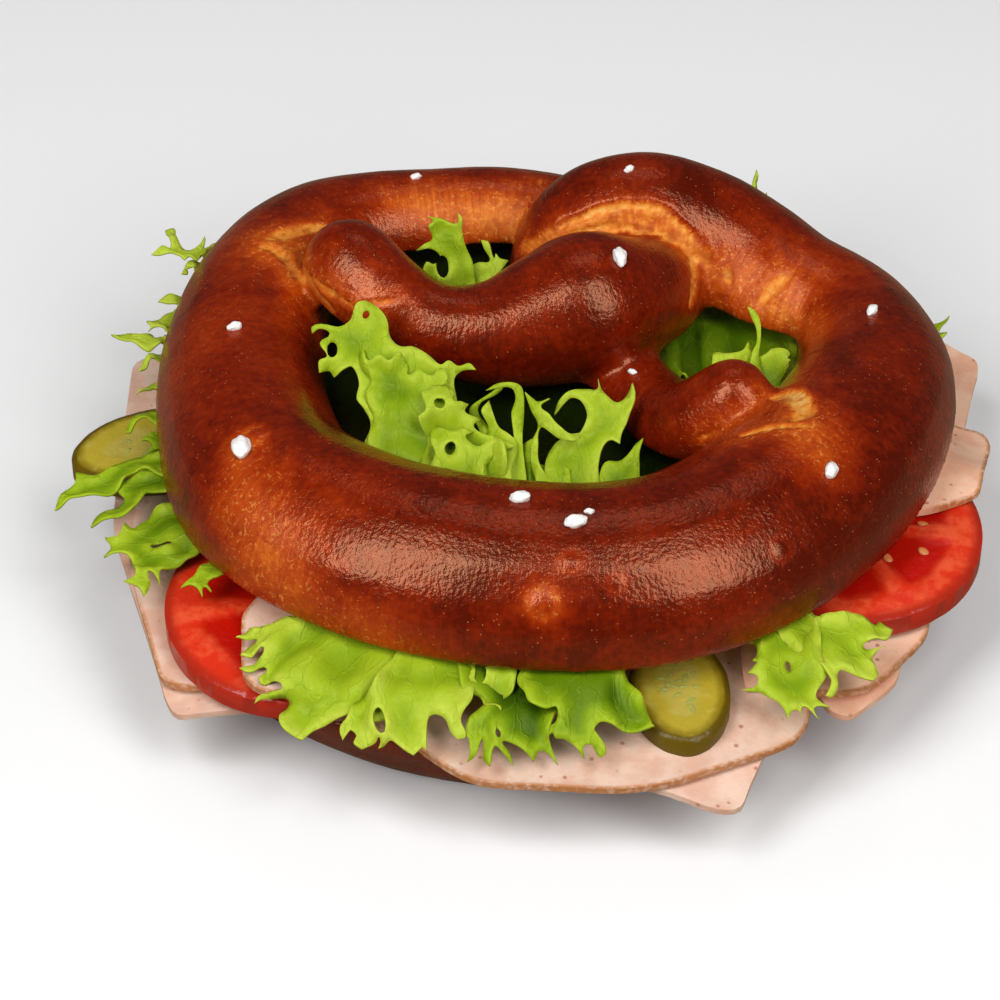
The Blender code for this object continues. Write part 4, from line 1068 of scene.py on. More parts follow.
SPRIGS = [[(-66, 66, 35), (-66, 18, 35)], [(-92, 66, 36), (-92, 18, 36)]]
LETTUCE = {
    "lettuce_front_left": [
        blade(
            [
                [(-42, -30, 34.5), (-36, -36, 34.5), (-26, -42, 34.5), (-17, -44, 34.5), (-9, -45, 34.5)],
                [(-50, -38, 34.5), (-46, -49, 33.5), (-35, -56, 32.5), (-23, -58, 31.5), (-11, -58, 31.5)],
                [(-58, -43, 33), (-53, -56, 30), (-40, -63, 27.5), (-27, -67, 26), (-12, -68, 26)],
            ],
            cut=[
                (7, 8), (3, 13), (2, 18), (0, 23), (1, 27, 1), (2, 25), (4, 22), (4, 25), (6, 27, 1),
                (7, 25), (7, 23), (8, 20.5), (8.5, 24), (8.5, 28, 1), (10, 26.5), (10, 24), (12, 22),
                (12, 24.5), (14, 25), (15.5, 22.5), (19, 22), (16.5, 25), (16, 27), (17, 29, 1), (17, 27),
                (19, 24.5), (21.5, 23.5), (22.5, 25.5), (22, 28), (23.5, 30), (26, 30.5), (28, 30.5, 1),
                (29, 28), (31, 26), (33, 23), (35, 21), (38.5, 22), (42.5, 21), (46.5, 18), (50, 14),
                (54, 12),
            ],
            folds=2.2, fold_height=1.9, seed=3,
        ),
        blade(
            [
                [(-36, -42, 35), (-24, -47, 35), (-10, -49, 35)],
                [(-38, -54, 34.5), (-26, -58, 34), (-10, -58, 34)],
                [(-39, -66, 29), (-26, -70, 27.5), (-10, -70, 27.5)],
            ],
            cut=[
                (14.5, 3), (12, 9), (10.5, 13), (7, 16.5), (4, 18.5), (3, 21), (1, 24), (3, 26, 1),
                (4, 23.5), (6, 24), (6.5, 26), (8.5, 26.5, 1), (10, 25), (11, 24), (12, 23),
                (11.5, 25, 1), (13, 24), (14.5, 23), (16, 23.5), (19.5, 25.5, 1), (21, 24), (22, 24.5, 1),
                (22, 21.5), (22.5, 18.5), (24, 18), (26, 19), (27, 21), (28.5, 22.5, 1), (30, 22),
                (29, 19), (31, 15.5), (31.5, 8),
            ],
            folds=2.0, fold_height=1.9, seed=33, holes=[(12, 20, 2.1)],
        ),
    ],
    "lettuce_front_right": [
        blade(
            [
                [(-14, -44, 34.5), (-2, -46, 34.5), (8, -46, 34.5), (17, -44, 34.5)],
                [(-15, -57, 33), (-4, -60, 32.5), (8, -60, 32.5), (19, -55, 33.5)],
                [(-16, -70, 27), (-5, -73, 26), (8, -72, 26), (22, -66, 29)],
            ],
            cut=[
                (0, 8), (1, 12.5), (2, 15, 1), (5, 15), (9, 15.5), (7, 18), (4.5, 20), (4, 23), (5, 24),
                (5, 28, 1), (7, 26), (8.5, 23), (9, 24.5), (9, 26.5), (11, 28, 1), (11, 25.5), (12, 24),
                (14, 25), (16.5, 27, 1), (15.5, 24.5), (14, 23), (17, 23), (19.5, 24.5), (21, 26, 1),
                (22, 24), (23.5, 24), (26, 27, 1), (25, 23.5), (24.5, 20), (27, 15), (30, 12),
                (36, 10), (40, 7),
            ],
            folds=2.4, fold_height=1.9, seed=12, dark=0.40, holes=[(13, 21.5, 0.9)],
        ),
        blade(
            [
                [(0, -46, 35), (14, -46, 35), (28, -42, 35)],
                [(0, -58, 34.5), (14, -58, 34.3), (28, -52, 34.5)],
                [(0, -70, 29), (14, -70, 28.5), (28, -64, 31)],
            ],
            cut=[
                (0, 6.5), (-2, 10), (-2.5, 12.5), (-1, 15), (0, 17), (3, 18), (6, 17.5), (6, 20), (4, 21),
                (3.5, 23, 1), (5, 22), (6, 23), (8, 23), (10, 24), (12, 26.5, 1), (12, 24), (14, 24),
                (15.5, 26.5), (17, 26, 1), (17, 24.5), (15, 22), (14.5, 21), (16, 20), (19, 21),
                (23, 23.5), (28, 25, 1), (27.5, 22), (26, 18), (24, 15), (22, 11), (20, 7),
            ],
            folds=1.8, fold_height=1.8, seed=31, dark=0.32,
        ),
        blade(
            [
                [(-14, -44, 34.5), (-2, -46, 34.5), (8, -46, 34.5), (17, -44, 34.5)],
                [(-15, -57, 33), (-4, -60, 32.5), (8, -60, 32.5), (19, -55, 33.5)],
                [(-16, -70, 27), (-5, -73, 26), (8, -72, 26), (22, -66, 29)],
            ],
            cut=[
                (6, 7), (8, 10.5), (7, 12.5), (5, 12), (2, 15, 1), (5, 15), (8, 15), (9.5, 16.5),
                (12, 16), (13.5, 17, 1), (13, 14.5), (15, 12), (15, 5.5),
            ],
            folds=1.8, fold_height=2.6, seed=32, dark=0.1,
        ),
    ],
    "lettuce_right": [
        blade(
            [
                [(42, -34, 34.4), (55, -33, 34.4)],
                [(43, -48, 34.2), (60, -46, 34.2)],
                [(44, -62, 30), (64, -58, 31)],
            ],
            cut=[
                (1, 9.5), (0, 12, 1), (3, 12.5), (4, 15), (2, 17, 1), (3, 18), (0.5, 20, 1), (2.5, 21),
                (2.5, 22.5), (-1, 23, 1), (3, 24), (4, 25, 1), (6, 27), (7, 29.5), (7, 32, 1), (8.5, 30),
                (10, 30), (10, 32, 1), (11, 29.5), (12.5, 30), (14, 33, 1), (14, 30), (17, 31, 1),
                (15.5, 29), (15, 27), (17, 24.5), (19, 22), (19.5, 17.5), (22.5, 8),
            ],
            folds=1.6, fold_height=1.6, seed=9, dark=0.1, holes=[(11, 19, 1)],
        ),
        blade(
            [
                [(46, -34, 35), (55, -33, 35), (64, -24, 35)],
                [(50, -44, 35), (62, -44, 34.8), (74, -34, 34.8)],
                [(53, -56, 32), (68, -54, 32), (82, -40, 33)],
            ],
            cut=[
                (-1, 9), (1, 15), (3.5, 17.5), (6, 19), (6, 21.5, 1), (8, 20), (9, 22), (9, 25),
                (7.5, 28, 1), (9, 28), (10.5, 26), (11, 24), (13, 22), (15, 23), (17.5, 25), (19, 26, 1),
                (21, 25), (22, 21.5), (24.5, 20.5), (27, 21, 1), (24, 19.5), (23, 17.5), (25.5, 18),
                (28, 20), (31, 19, 1), (30.5, 17.5), (31, 15, 1), (29, 15), (28, 12), (26, 10.5), (22, 9),
                (17, 7), (15, 4),
            ],
            folds=1.3, fold_height=1.2, seed=8,
        ),
    ],
    "lettuce_left": [
        blade(
            [[(-62, 15, 35), (-62, -1, 34.8)], [(-101, 15, 31.5), (-101, -1, 31)]],
            cut=[
                (3.5, 15), (5, 19), (6, 22.5), (8, 26), (11, 29), (12, 31), (11, 34, 1), (14, 34),
                (16, 36), (19, 37.5), (21, 38, 1), (19, 34.5), (18, 29), (16, 25), (13, 23), (11, 20.5),
                (14, 14),
            ],
            folds=0.8, fold_height=1.0, seed=5, dark=0.32,
        ),
        blade(
            [[(-62, 4, 34.4), (-62, -14, 34.4)], [(-94, 2, 30.5), (-94, -16, 30.5)]],
            cut=[
                (-3, 14), (-3, 18.5), (-1, 23), (2, 25), (5, 23.5), (8, 26), (11, 29), (13, 30, 1),
                (12, 25.5), (10, 21.5), (6.5, 19.5), (4, 18), (5, 13),
            ],
            folds=0.8, fold_height=1.2, seed=6, dark=0.42,
        ),
        blade(
            [[(-60, -3, 34.2), (-55, -25, 34.2)], [(-86, -7, 29.5), (-78, -31, 29.5)]],
            cut=[
                (-3, 12), (-2, 16), (-1, 19), (1.5, 22), (3, 23.5), (1, 24.5, 1), (3.5, 25.5), (5, 27),
                (4, 29.5, 1), (7, 29), (9, 31, 1), (10, 28), (12, 26), (15.5, 26), (19, 26), (20, 29, 1),
                (22, 26.5), (25, 26, 1), (22, 24), (19, 23), (23, 22, 1), (19, 21), (18, 18.5),
                (17, 15.5), (16.5, 13), (14, 10),
            ],
            folds=1.4, fold_height=1.9, seed=7, dark=0.2, holes=[(10, 19, 2)],
        ),
        blade(
            [[(-56, -14, 35), (-50, -22, 35)], [(-70, -24, 35), (-64, -32, 35)]],
            cut=[
                (3, 16), (5, 19), (5.5, 20.5), (6, 23, 1), (7, 21), (8.5, 20.5), (11.5, 21, 1), (9, 19),
                (11, 18.5, 1), (8, 17.5), (8, 14.5),
            ],
            folds=0.5, fold_height=0.5, seed=62, dark=0.3,
        ),
        blade(
            [[(-66, 26, 35.2), (-66, 16, 35.2)], [(-88, 26, 35.2), (-88, 16, 35.2)]],
            cut=[
                (4, 13), (4, 15), (6, 18), (9, 19.5), (11.5, 20, 1), (11.5, 19), (9, 18), (7.5, 16),
                (9, 13),
            ],
            folds=0.4, fold_height=0.4, seed=61, dark=0.3,
        ),
        blade(
            [[(-66, 26, 35.2), (-66, 16, 35.2)], [(-88, 26, 35.2), (-88, 16, 35.2)]],
            cut=[
                (11, 13), (12, 15), (14, 16.5, 1), (14, 15), (16, 14), (18, 15, 1), (17, 13.5), (16, 12),
            ],
            folds=0.4, fold_height=0.4, seed=63, dark=0.5,
        ),
    ],
    "lettuce_back_left": [
        blade(
            [
                [(-58, 30, 31), (-62, 43, 31), (-60, 56, 31), (-50, 70, 31)],
                [(-76, 31, 33), (-76.5, 45, 33), (-72, 59, 33), (-61, 73, 33)],
            ],
            lobes=[(1, 2, 0), (1, 2, 0), (1, 2, 0)],
            folds=3.2, fold_height=1.2, seed=11, dark=0.35,
        ),
        blade(
            [[(-60, 78, 36), (-60, 60, 36)], [(-84, 78, 41.5), (-84, 60, 41.5)]],
            cut=[
                (3, 9), (6, 12), (2, 13, 1), (5, 14), (7.5, 16), (7, 18), (4.5, 19.5), (1, 20),
                (2, 22, 1), (5.5, 21), (9, 20.5), (9, 22.5), (12, 24.5, 1), (11, 21), (10.5, 18.5),
                (12, 17, 1), (10.5, 16), (11, 14), (9.5, 10),
            ],
            folds=0.6, fold_height=0.5, seed=71,
        ),
        blade(
            [[(-60, 78, 35), (-60, 54, 35)], [(-84, 78, 39), (-84, 54, 39)]],
            cut=[
                (8, 12), (9.5, 14.5), (10, 16), (12.5, 17), (15, 17.5, 1), (14, 16), (12, 16), (12, 12),
            ],
            folds=0.6, fold_height=0.5, seed=73,
        ),
        blade(
            SPRIGS,
            cut=[
                (6, 10), (7, 12), (7, 14), (9, 16, 1), (9.5, 14), (10, 10),
            ],
            folds=3, fold_height=0.4, seed=74,
        ),
        blade(
            SPRIGS,
            cut=[
                (11, 12), (14, 14.5), (16, 15.5), (17, 17), (17, 18, 1), (19, 17), (20, 17.5, 1),
                (19, 16), (20, 12),
            ],
            folds=3, fold_height=0.4, seed=75,
        ),
        blade(
            SPRIGS,
            cut=[
                (20, 12), (22.5, 15.5), (21, 17), (22, 19), (21, 22), (21.5, 25.5, 1), (23.5, 22.5),
                (26, 19), (27, 17), (26, 15.5), (24.5, 12),
            ],
            folds=3, fold_height=0.5, seed=76,
        ),
        blade(
            SPRIGS,
            cut=[
                (26, 12), (28, 15), (29.5, 16.5), (32, 18), (35, 18.5, 1), (33.5, 17), (31, 16), (30, 12),
            ],
            folds=3, fold_height=0.4, seed=77,
        ),
        blade(
            SPRIGS,
            cut=[
                (35, 12), (37.5, 14.5), (39, 16), (41, 17), (44, 18.5, 1), (42, 16.5), (40, 14),
                (38.5, 12),
            ],
            folds=3, fold_height=0.4, seed=78,
        ),
    ],
    "lettuce_ear_left": [
        # A near-black bed under the left ear's hole: painted shade, a sheet laid where there is only shade.
        blade(
            [
                [(-36, 84, 29.5), (-16, 89, 29.5), (6, 87, 29.5)],
                [(-33, 60, 30), (-15, 61, 30.5), (4, 63, 30)],
                [(-30, 46, 34), (-14, 44, 34), (2, 48, 34)],
            ],
            lobes=[(1, 1, 0), (1, 1, 0)],
            folds=2.0, fold_height=0.8, seed=20, dark=1.0,
        ),
        blade(
            [[(-28, 50, 35), (-4, 50, 35)], [(-28, 63, 57), (-4, 63, 57)]],
            cut=[
                (6, 7.5), (5, 11), (3, 13, 1), (5, 12.5), (6.5, 15), (8.5, 14.5), (10, 16), (7.5, 18),
                (4, 17.5, 1), (6, 19), (8, 20), (7, 23), (8, 24), (6.5, 25, 1), (10, 24.5), (12.5, 23.5),
                (14, 24), (14, 26, 1), (15, 25), (15, 21.5), (16, 18), (17.5, 15), (18.5, 9),
            ],
            folds=1.2, fold_height=1.2, seed=21, dark=0.12, holes=[(10.5, 14, 2.1)],
        ),
        blade(
            [[(-14, 48, 35), (-2, 48, 35)], [(-14, 62, 48), (-2, 62, 48)]],
            cut=[
                (-0.5, 10), (0.5, 14.5), (3.5, 16), (6, 16), (6.5, 17), (5, 19), (4, 21, 1), (6, 20.5),
                (7.5, 17), (8, 18, 1), (9, 17), (11, 16.5, 1), (9, 14), (6, 10.5),
            ],
            folds=0.8, fold_height=0.8, seed=24, dark=0.1,
        ),
    ],
    "lettuce_centre_left": [
        # A near-black bed under the middle hole: painted shade, a sheet laid where there is only shade.
        blade(
            [
                [(-60, 66, 30), (-24, 62, 30), (8, 50, 30), (34, 40, 30)],
                [(-50, 16, 31), (-22, 16, 31), (8, 14, 31), (34, 12, 31)],
                [(-42, -8, 34), (-18, -16, 34), (8, -16, 34), (36, -8, 34)],
            ],
            lobes=[(1, 1, 0), (1, 1, 0), (1, 1, 0)],
            folds=4.5, fold_height=1.0, seed=19, dark=1.0,
        ),
        blade(
            [[(-40, -6, 34), (-4, -6, 34)], [(-40, 22, 55), (-4, 22, 55)]],
            cut=[
                (6, 13), (7.5, 17), (6, 20.5), (4.5, 22.5), (5, 26), (3, 29.5), (1, 29), (-1, 27.5, 1),
                (-2, 29), (-4, 28.5, 1), (-4, 31), (-2.5, 32), (-4, 35), (-2, 37), (-4, 38),
                (-5.5, 37, 1), (-5.5, 38.5), (-3.5, 39), (0, 38.5), (3, 40), (4, 43), (6, 44), (8.5, 43),
                (11, 40), (12, 36), (14, 34), (17.5, 34), (21, 32), (24, 30), (26, 31), (28, 30),
                (30.5, 30.5), (32, 29, 1), (29, 29), (27, 27), (27, 23.5), (29, 18), (34, 13),
                (37.5, 5.5),
            ],
            folds=2.6, fold_height=1.6, seed=2, dark=0.1,
            holes=[(6.5, 41, 0.9), (-1.5, 33.5, 1.6), (23.5, 24, 1.5)],
        ),
        blade(
            [[(-38, -9, 34), (-6, -9, 34)], [(-38, 15, 52), (-6, 15, 52)]],
            cut=[
                (5, 14), (5.5, 19), (4, 25), (5.5, 29), (3, 32), (3, 35.5), (4.5, 33), (7, 34), (9, 33),
                (12, 34.5), (14, 32, 1), (14, 30), (16, 31), (19.5, 29.5), (21.5, 31.5), (23.5, 30),
                (23, 27), (25, 24), (26.5, 20), (30.5, 14), (32, 7.5),
            ],
            folds=2.6, fold_height=2.3, seed=42, dark=0.14,
        ),
        blade(
            [[(-26, -11, 34.5), (-2, -11, 34.5)], [(-26, 9, 49), (-2, 9, 49)]],
            cut=[
                (3.5, 11), (5, 17), (3, 21.5), (5, 23), (4, 27), (6, 27.5), (7, 29), (9.5, 29),
                (11.5, 27), (11, 25), (13, 25), (15, 24.5, 1), (14, 23), (17.5, 21.5, 1), (16, 20),
                (18, 18.5), (21, 17.5), (23, 16), (23.5, 8.5),
            ],
            folds=2.4, fold_height=2.3, seed=44, dark=0.12, holes=[(8, 24.5, 1.3)],
        ),
        blade(
            [[(-22, -13, 34.5), (2, -13, 34.5)], [(-22, 5, 46.5), (2, 5, 46.5)]],
            cut=[
                (1, 11), (3, 15.5), (2, 18), (2, 21), (5, 22), (7.5, 20.5), (9, 21.5), (12, 20.5, 1),
                (10, 19), (12.5, 17), (16, 18.5), (19.5, 18), (21, 17, 1), (17.5, 16), (16, 15),
                (14.5, 13, 1), (15, 10),
            ],
            folds=2.4, fold_height=2.3, seed=41, dark=0.12, holes=[(6.5, 16.5, 1.4)],
        ),
        blade(
            [[(-16, -6, 34.6), (-4, -6, 34.6)], [(-16, 13, 47), (-4, 13, 47)]],
            cut=[
                (7, 11.5), (6, 16), (4, 20), (6, 22), (9, 24), (11.5, 25), (10, 23.5), (7, 22), (6, 20),
                (8, 16.5), (11, 12),
            ],
            folds=0.6, fold_height=0.6, seed=45, dark=0.35,
        ),
        blade(
            [[(-14, -9, 35.5), (2, -9, 35.5)], [(-14, 9, 48), (2, 9, 48)]],
            cut=[
                (4, 8.5), (5.5, 14), (6, 18), (4.5, 21), (6, 23.5, 1), (7, 21), (8.5, 18), (11, 16),
                (13, 14), (11.5, 8.5),
            ],
            folds=0.9, fold_height=0.8, seed=43, dark=0.1,
        ),
    ],
    "lettuce_centre_right": [
        blade(
            [
                [(-8, -9, 34.4), (1, -10, 34.4), (10, -10, 34.4)],
                [(-8, -1, 37), (0, -2, 37.5), (9, -2, 37.5)],
                [(-7, 3, 39), (0, 2, 39.5), (8, 2, 39.5)],
            ],
            lobes=[(1, 3, 0), (1, 4, 0), (1, 3, 0)],
            folds=1.8, fold_height=1.6, seed=15, dark=0.32, taper=0.3,
        ),
        blade(
            [[(2, -9, 34), (28, -9, 34)], [(2, 14, 46), (28, 14, 46)]],
            cut=[
                (1.5, 7), (2, 12), (4, 16), (7, 17.5), (10, 18.5), (11.5, 22), (10.5, 25), (8, 26),
                (6, 24.5), (4, 22.5, 1), (5, 25.5), (8, 27.5), (12, 28), (14, 28), (14, 30.5, 1),
                (15, 28), (17, 25.5), (19, 25), (21, 27), (22, 29.5, 1), (22.5, 25.5), (21, 21),
                (19.5, 18), (19, 15.5, 1), (17, 16.5), (15, 14.5), (14, 11), (14, 7),
            ],
            folds=1.6, fold_height=1.3, seed=14, dark=0.12,
        ),
        blade(
            [[(-10, -6, 35), (2, -6, 35)], [(-10, 13, 52), (2, 13, 52)]],
            cut=[
                (6, 5), (7.5, 13), (7, 18.5), (8, 22), (7, 24), (4, 24), (1, 23.5, 1), (4, 25), (8, 25),
                (9.5, 24), (10, 20.5), (9.5, 13), (10.5, 5),
            ],
            folds=0.6, fold_height=0.5, seed=16, dark=0.2,
        ),
        blade(
            [[(-3, -8, 36), (14, -8, 36)], [(-3, 10, 50), (14, 10, 50)]],
            cut=[
                (5, 5), (4, 9), (4, 13), (5.5, 17), (4, 20), (2.5, 24, 1), (4, 23), (5.5, 22),
                (8, 22.5, 1), (6, 21), (8, 19), (10.5, 16.5), (13, 15), (16, 15, 1), (14, 13.5),
                (10.5, 14), (8, 15.5), (6, 16.5), (5.5, 13), (6, 8.5), (9, 5),
            ],
            folds=0.6, fold_height=0.5, seed=18, dark=0.1,
        ),
        blade(
            [[(17, -8, 34.5), (30, -8, 34.5)], [(17, 3, 40), (30, 3, 40)]],
            cut=[
                (-2.5, 6), (-1, 10.5), (2, 11), (4, 12), (6, 14.5), (8, 16, 1), (7, 13), (7, 9),
            ],
            folds=0.6, fold_height=0.5, seed=10, dark=0.3,
        ),
    ],
    "lettuce_ear_right": [
        # A dark bed under the right ear's hole: painted shade, a sheet laid where there is only shade.
        blade(
            [
                [(20, 66, 29), (37, 68, 29), (60, 60, 29)],
                [(22, 47, 31.5), (38, 48, 32), (60, 42, 31.5)],
                [(24, 31, 35), (38, 28, 36), (62, 24, 35)],
            ],
            lobes=[(1, 1, 0), (1, 1, 0)],
            folds=3.2, fold_height=2.0, seed=17, dark=0.32,
        ),
        blade(
            [[(33, 22, 34), (62, 22, 34)], [(33, 38, 44), (62, 38, 44)]],
            cut=[
                (5.5, 4), (6.5, 9), (7.5, 11.5), (8, 14), (10.5, 14), (13, 14), (15, 15), (16, 17, 1),
                (17, 15), (18.5, 13.5), (20.5, 14), (22, 15), (25, 15), (26.5, 14), (26, 13), (27.5, 12),
                (28.5, 10), (29, 8, 1), (28, 6), (25, 3),
            ],
            folds=1.8, fold_height=1.3, seed=27, dark=0.15,
        ),
        blade(
            [[(44, 28, 39), (54, 28, 39)], [(44, 44, 49), (54, 44, 49)]],
            cut=[
                (4, 2), (5, 6.5), (6, 8.5), (6, 11.5), (5, 14), (4, 16.5, 1), (6, 15.5), (7, 13), (7, 9),
                (6.5, 6), (7, 2),
            ],
            folds=0.4, fold_height=0.3, seed=28, dark=0.2,
        ),
    ],
    "lettuce_back": [
        blade(
            [
                [(-44, 84, 30), (-24, 90, 30), (-2, 91, 30), (20, 88, 30), (40, 82, 29), (54, 70, 29)],
                [(-52, 88, 28.5), (-28, 97, 28), (-2, 99, 28), (22, 96, 28), (48, 90, 29), (62, 74, 28)],
            ],
            lobes=[
                (1, 4, 0), (1.2, 4, 0), (1, 4, 1), (1.3, 5, 0), (1, 4, 0), (1.2, 5, 1), (1, 4, 0),
                (1, 4, 0), (1, 4, 0),
            ],
            folds=7.4, fold_height=2.4, seed=4, dark=0.2,
        ),
        blade(
            [
                [(45, 84, 34), (54, 82, 34)],
                [(49, 93, 34.3), (56, 91, 34)],
                [(51, 96.5, 36.5), (55.5, 95.5, 35.5)],
            ],
            lobes=[(1, 5.5, -1.5), (0.4, 1.5, 0)],
            folds=0.6, fold_height=0.6, seed=51,
        ),
    ],
    "lettuce_right_back": [
        blade(
            [
                [(76, 27, 30), (77, 40, 30), (75, 52, 30), (67, 62, 30)],
                [(85, 28, 30.5), (85, 42, 31), (82.5, 55, 30), (75, 68, 29.5)],
            ],
            lobes=[(1, 3, 0), (1, 3, 0), (1, 4, 1), (1.2, 3, 0), (1, 4, 0), (1.2, 3, 0)],
            folds=3.3, fold_height=1.5, seed=6, dark=0.3,
        ),
        blade(
            [
                [(78, 44, 34.3), (78, 54, 34.3)],
                [(87, 44, 34), (86.5, 52, 34)],
                [(91, 46.5, 34), (89.5, 53, 34.5)],
            ],
            lobes=[(0.7, 2, 0), (1, 4.5, 1.5)],
            folds=0.8, fold_height=0.8, seed=52,
        ),
    ],
}
FOLD_GROWTH = 1.3
FOLD_LEAN = 0.4
FRILL_LENGTH = 10.5
FRILL_HEIGHT = 0.9
CUT_FRILL = 0.3
CRUMPLE = 1.3
CRUMPLE_SIZE = 7.5
CURL_HEIGHT = 1.7
LOBE_CURL = (-0.4, 0.8)
HANDLE = 0.33
HOLLOW_BEND = 0.6
STRAIGHT_BEND = 0.12
MARGIN_ROUNDNESS = 2.4
NET_STEP = 0.01


def filling_floor():
    """Heights of what the lettuce lies on, over a grid of millimetres, and that grid's corner."""
    points, faces = [], []
    for name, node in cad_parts.items():
        if name.startswith(("ham_", "tomato_", "gherkin_", "pretzel_base")):
            start = len(points)
            points += [tuple(p) for p in points_of(node.data) / MM + np.array(TRAY_ORIGIN)]
            faces += [tuple(start + k for k in face.vertices) for face in node.data.polygons]
    surface = BVHTree.FromPolygons(points, faces)
    corner = np.array([-110, -90])
    grid = np.zeros((225, 205))
    for column in range(grid.shape[0]):
        for row in range(grid.shape[1]):
            start = Vector((corner[0] + column, corner[1] + row, UPPER_CUT))
            point = surface.ray_cast(start, Vector((0, 0, -1)))[0]
            grid[column, row] = point.z if point else 0
    steps = [(a, b) for a in (-1, 0, 1) for b in (-1, 0, 1)]
    grid = np.max([np.roll(grid, step, (0, 1)) for step in steps], axis=0)
    for _ in range(2):
        grid = np.mean([np.roll(grid, step, (0, 1)) for step in steps], axis=0)
    return grid, corner


FILLING, FILLING_CORNER = filling_floor()


def floor_under(places):
    x, y = np.clip((places - FILLING_CORNER).T, 0, np.array(FILLING.shape)[:, None] - 2)
    i, j = x.astype(int), y.astype(int)
    u, v = x - i, y - j
    near = FILLING[i, j] * (1 - u) * (1 - v) + FILLING[i + 1, j] * u * (1 - v)
    return near + FILLING[i, j + 1] * (1 - u) * v + FILLING[i + 1, j + 1] * u * v


def unit(vectors):
    return vectors / np.maximum(np.linalg.norm(vectors, axis=1), 1e-9)[:, None]


def bent_line(*bends):
    """Points along a bent line from the first of its four points to the last, without the last."""
    steps = max(4, round(np.linalg.norm(bends[3] - bends[0]) / 0.7))
    line = []
    for u in np.linspace(0, 1, steps, endpoint=False):
        weights = ((1 - u) ** 3, 3 * u * (1 - u) ** 2, 3 * u * u * (1 - u), u**3)
        line.append(sum(weight * bend for weight, bend in zip(weights, bends)))
    return line


def lobe_points(base, out, half, length, lean, rng):
    """Round a lobe: its pointed teeth and the round hollows between them, each with its way out. A lobe
    with one tooth is a plain blade tip with straight sides, and one with more has hollowed sides."""
    across = np.array([out[1], -out[0]])
    centre = base - 0.2 * length * out
    count = int(np.clip(round((length + half) / 3.4), 1, 4))
    if half < 2.5 or length < 2.5:
        count = 1
    spread = 22 * count if count > 1 else 0
    angles = np.radians(np.linspace(90 + spread, 90 - spread, count)) + rng.uniform(-0.10, 0.10, count)
    bend = HOLLOW_BEND if count > 1 else STRAIGHT_BEND

    def at(angle, size, tip):
        reach = size * (across * math.cos(angle) * half + out * math.sin(angle) * 1.2 * length)
        way = across * math.cos(angle) + out * math.sin(angle)
        return centre + reach + across * lean * math.sin(angle), way, tip, bend

    points = []
    for k, angle in enumerate(angles):
        points.append(at(angle, rng.uniform(0.92, 1.10), True))
        if k + 1 < count:
            points.append(at((angle + angles[k + 1]) / 2, rng.uniform(0.68, 0.84), False))
    return points


def frilled_line(leaf, width, depth, rng):
    """The frilled margin of a blade laid flat, from its left side to its right."""

    def on_margin(x):
        off = 2 * x / width - 1
        fall = leaf["taper"] * depth * abs(off) ** MARGIN_ROUNDNESS
        steepness = -MARGIN_ROUNDNESS * leaf["taper"] * depth * abs(off) ** (MARGIN_ROUNDNESS - 1)
        slope = steepness * np.sign(off) * 2 / width
        return np.array([x, depth - fall]), np.array([-slope, 1.0]) / math.hypot(slope, 1.0)

    ends = np.concatenate([[0], np.cumsum([share for share, _, _ in leaf["lobes"]])])
    ends = ends / ends[-1] * width
    knots = [(*on_margin(0), False, 0)]
    for (start, end), (_, length, lean) in zip(zip(ends, ends[1:]), leaf["lobes"]):
        knots += lobe_points(*on_margin((start + end) / 2), (end - start) / 2, length, lean, rng)
        place, out = on_margin(end)
        sunk = rng.uniform(0.15, 0.30) * length if end < width else 0
        knots.append((place - sunk * out, out, False, 0))
    line = []
    for (a, out_a, tip_a, bend_a), (b, out_b, tip_b, bend_b) in zip(knots, knots[1:]):
        side = b - a
        far = np.linalg.norm(side)
        bend = max(bend_a, bend_b)
        handles = []
        for out, tip, towards in ((out_a, tip_a, side), (out_b, tip_b, -side)):
            straight = towards / far * (1 - bend)
            if tip:
                handles.append((straight - bend * out) * 0.38 * far)
            else:
                across = np.array([-out[1], out[0]])
                handles.append((straight + bend * across * np.sign(across @ towards)) * 0.6 * far)
        line += bent_line(a, a + handles[0], b + handles[1], b)
    return line + [knots[-1][0]]


def cut_line(knots):
    """A line through the points of a cut outline, round at all but the tips."""
    places = [np.array(knot[:2], float) for knot in knots]
    tips = [len(knot) > 2 for knot in knots]
    line = []
    for k, (a, b) in enumerate(zip(places, places[1:])):
        before = a if tips[k] or k == 0 else places[k - 1]
        after = b if tips[k + 1] or k + 2 == len(places) else places[k + 2]
        reach = HANDLE * np.linalg.norm(b - a)
        first = (b - before) / np.linalg.norm(b - before) * reach
        second = (after - a) / np.linalg.norm(after - a) * reach
        line += bent_line(a, a + first, b - second, b)
    return line + [places[-1]]


def with_root(line):
    """Closes a blade's margin round its hidden root."""
    first, last = line[0], line[-1]
    down = [np.array([last[0], y]) for y in np.arange(last[1] - 1.0, 0, -1.2)]
    root = [np.array([x, 0]) for x in np.arange(last[0], first[0], -1.2)]
    up = [np.array([first[0], y]) for y in np.arange(0, first[1] - 0.6, 1.2)]
    return np.array(line + down + root + up)


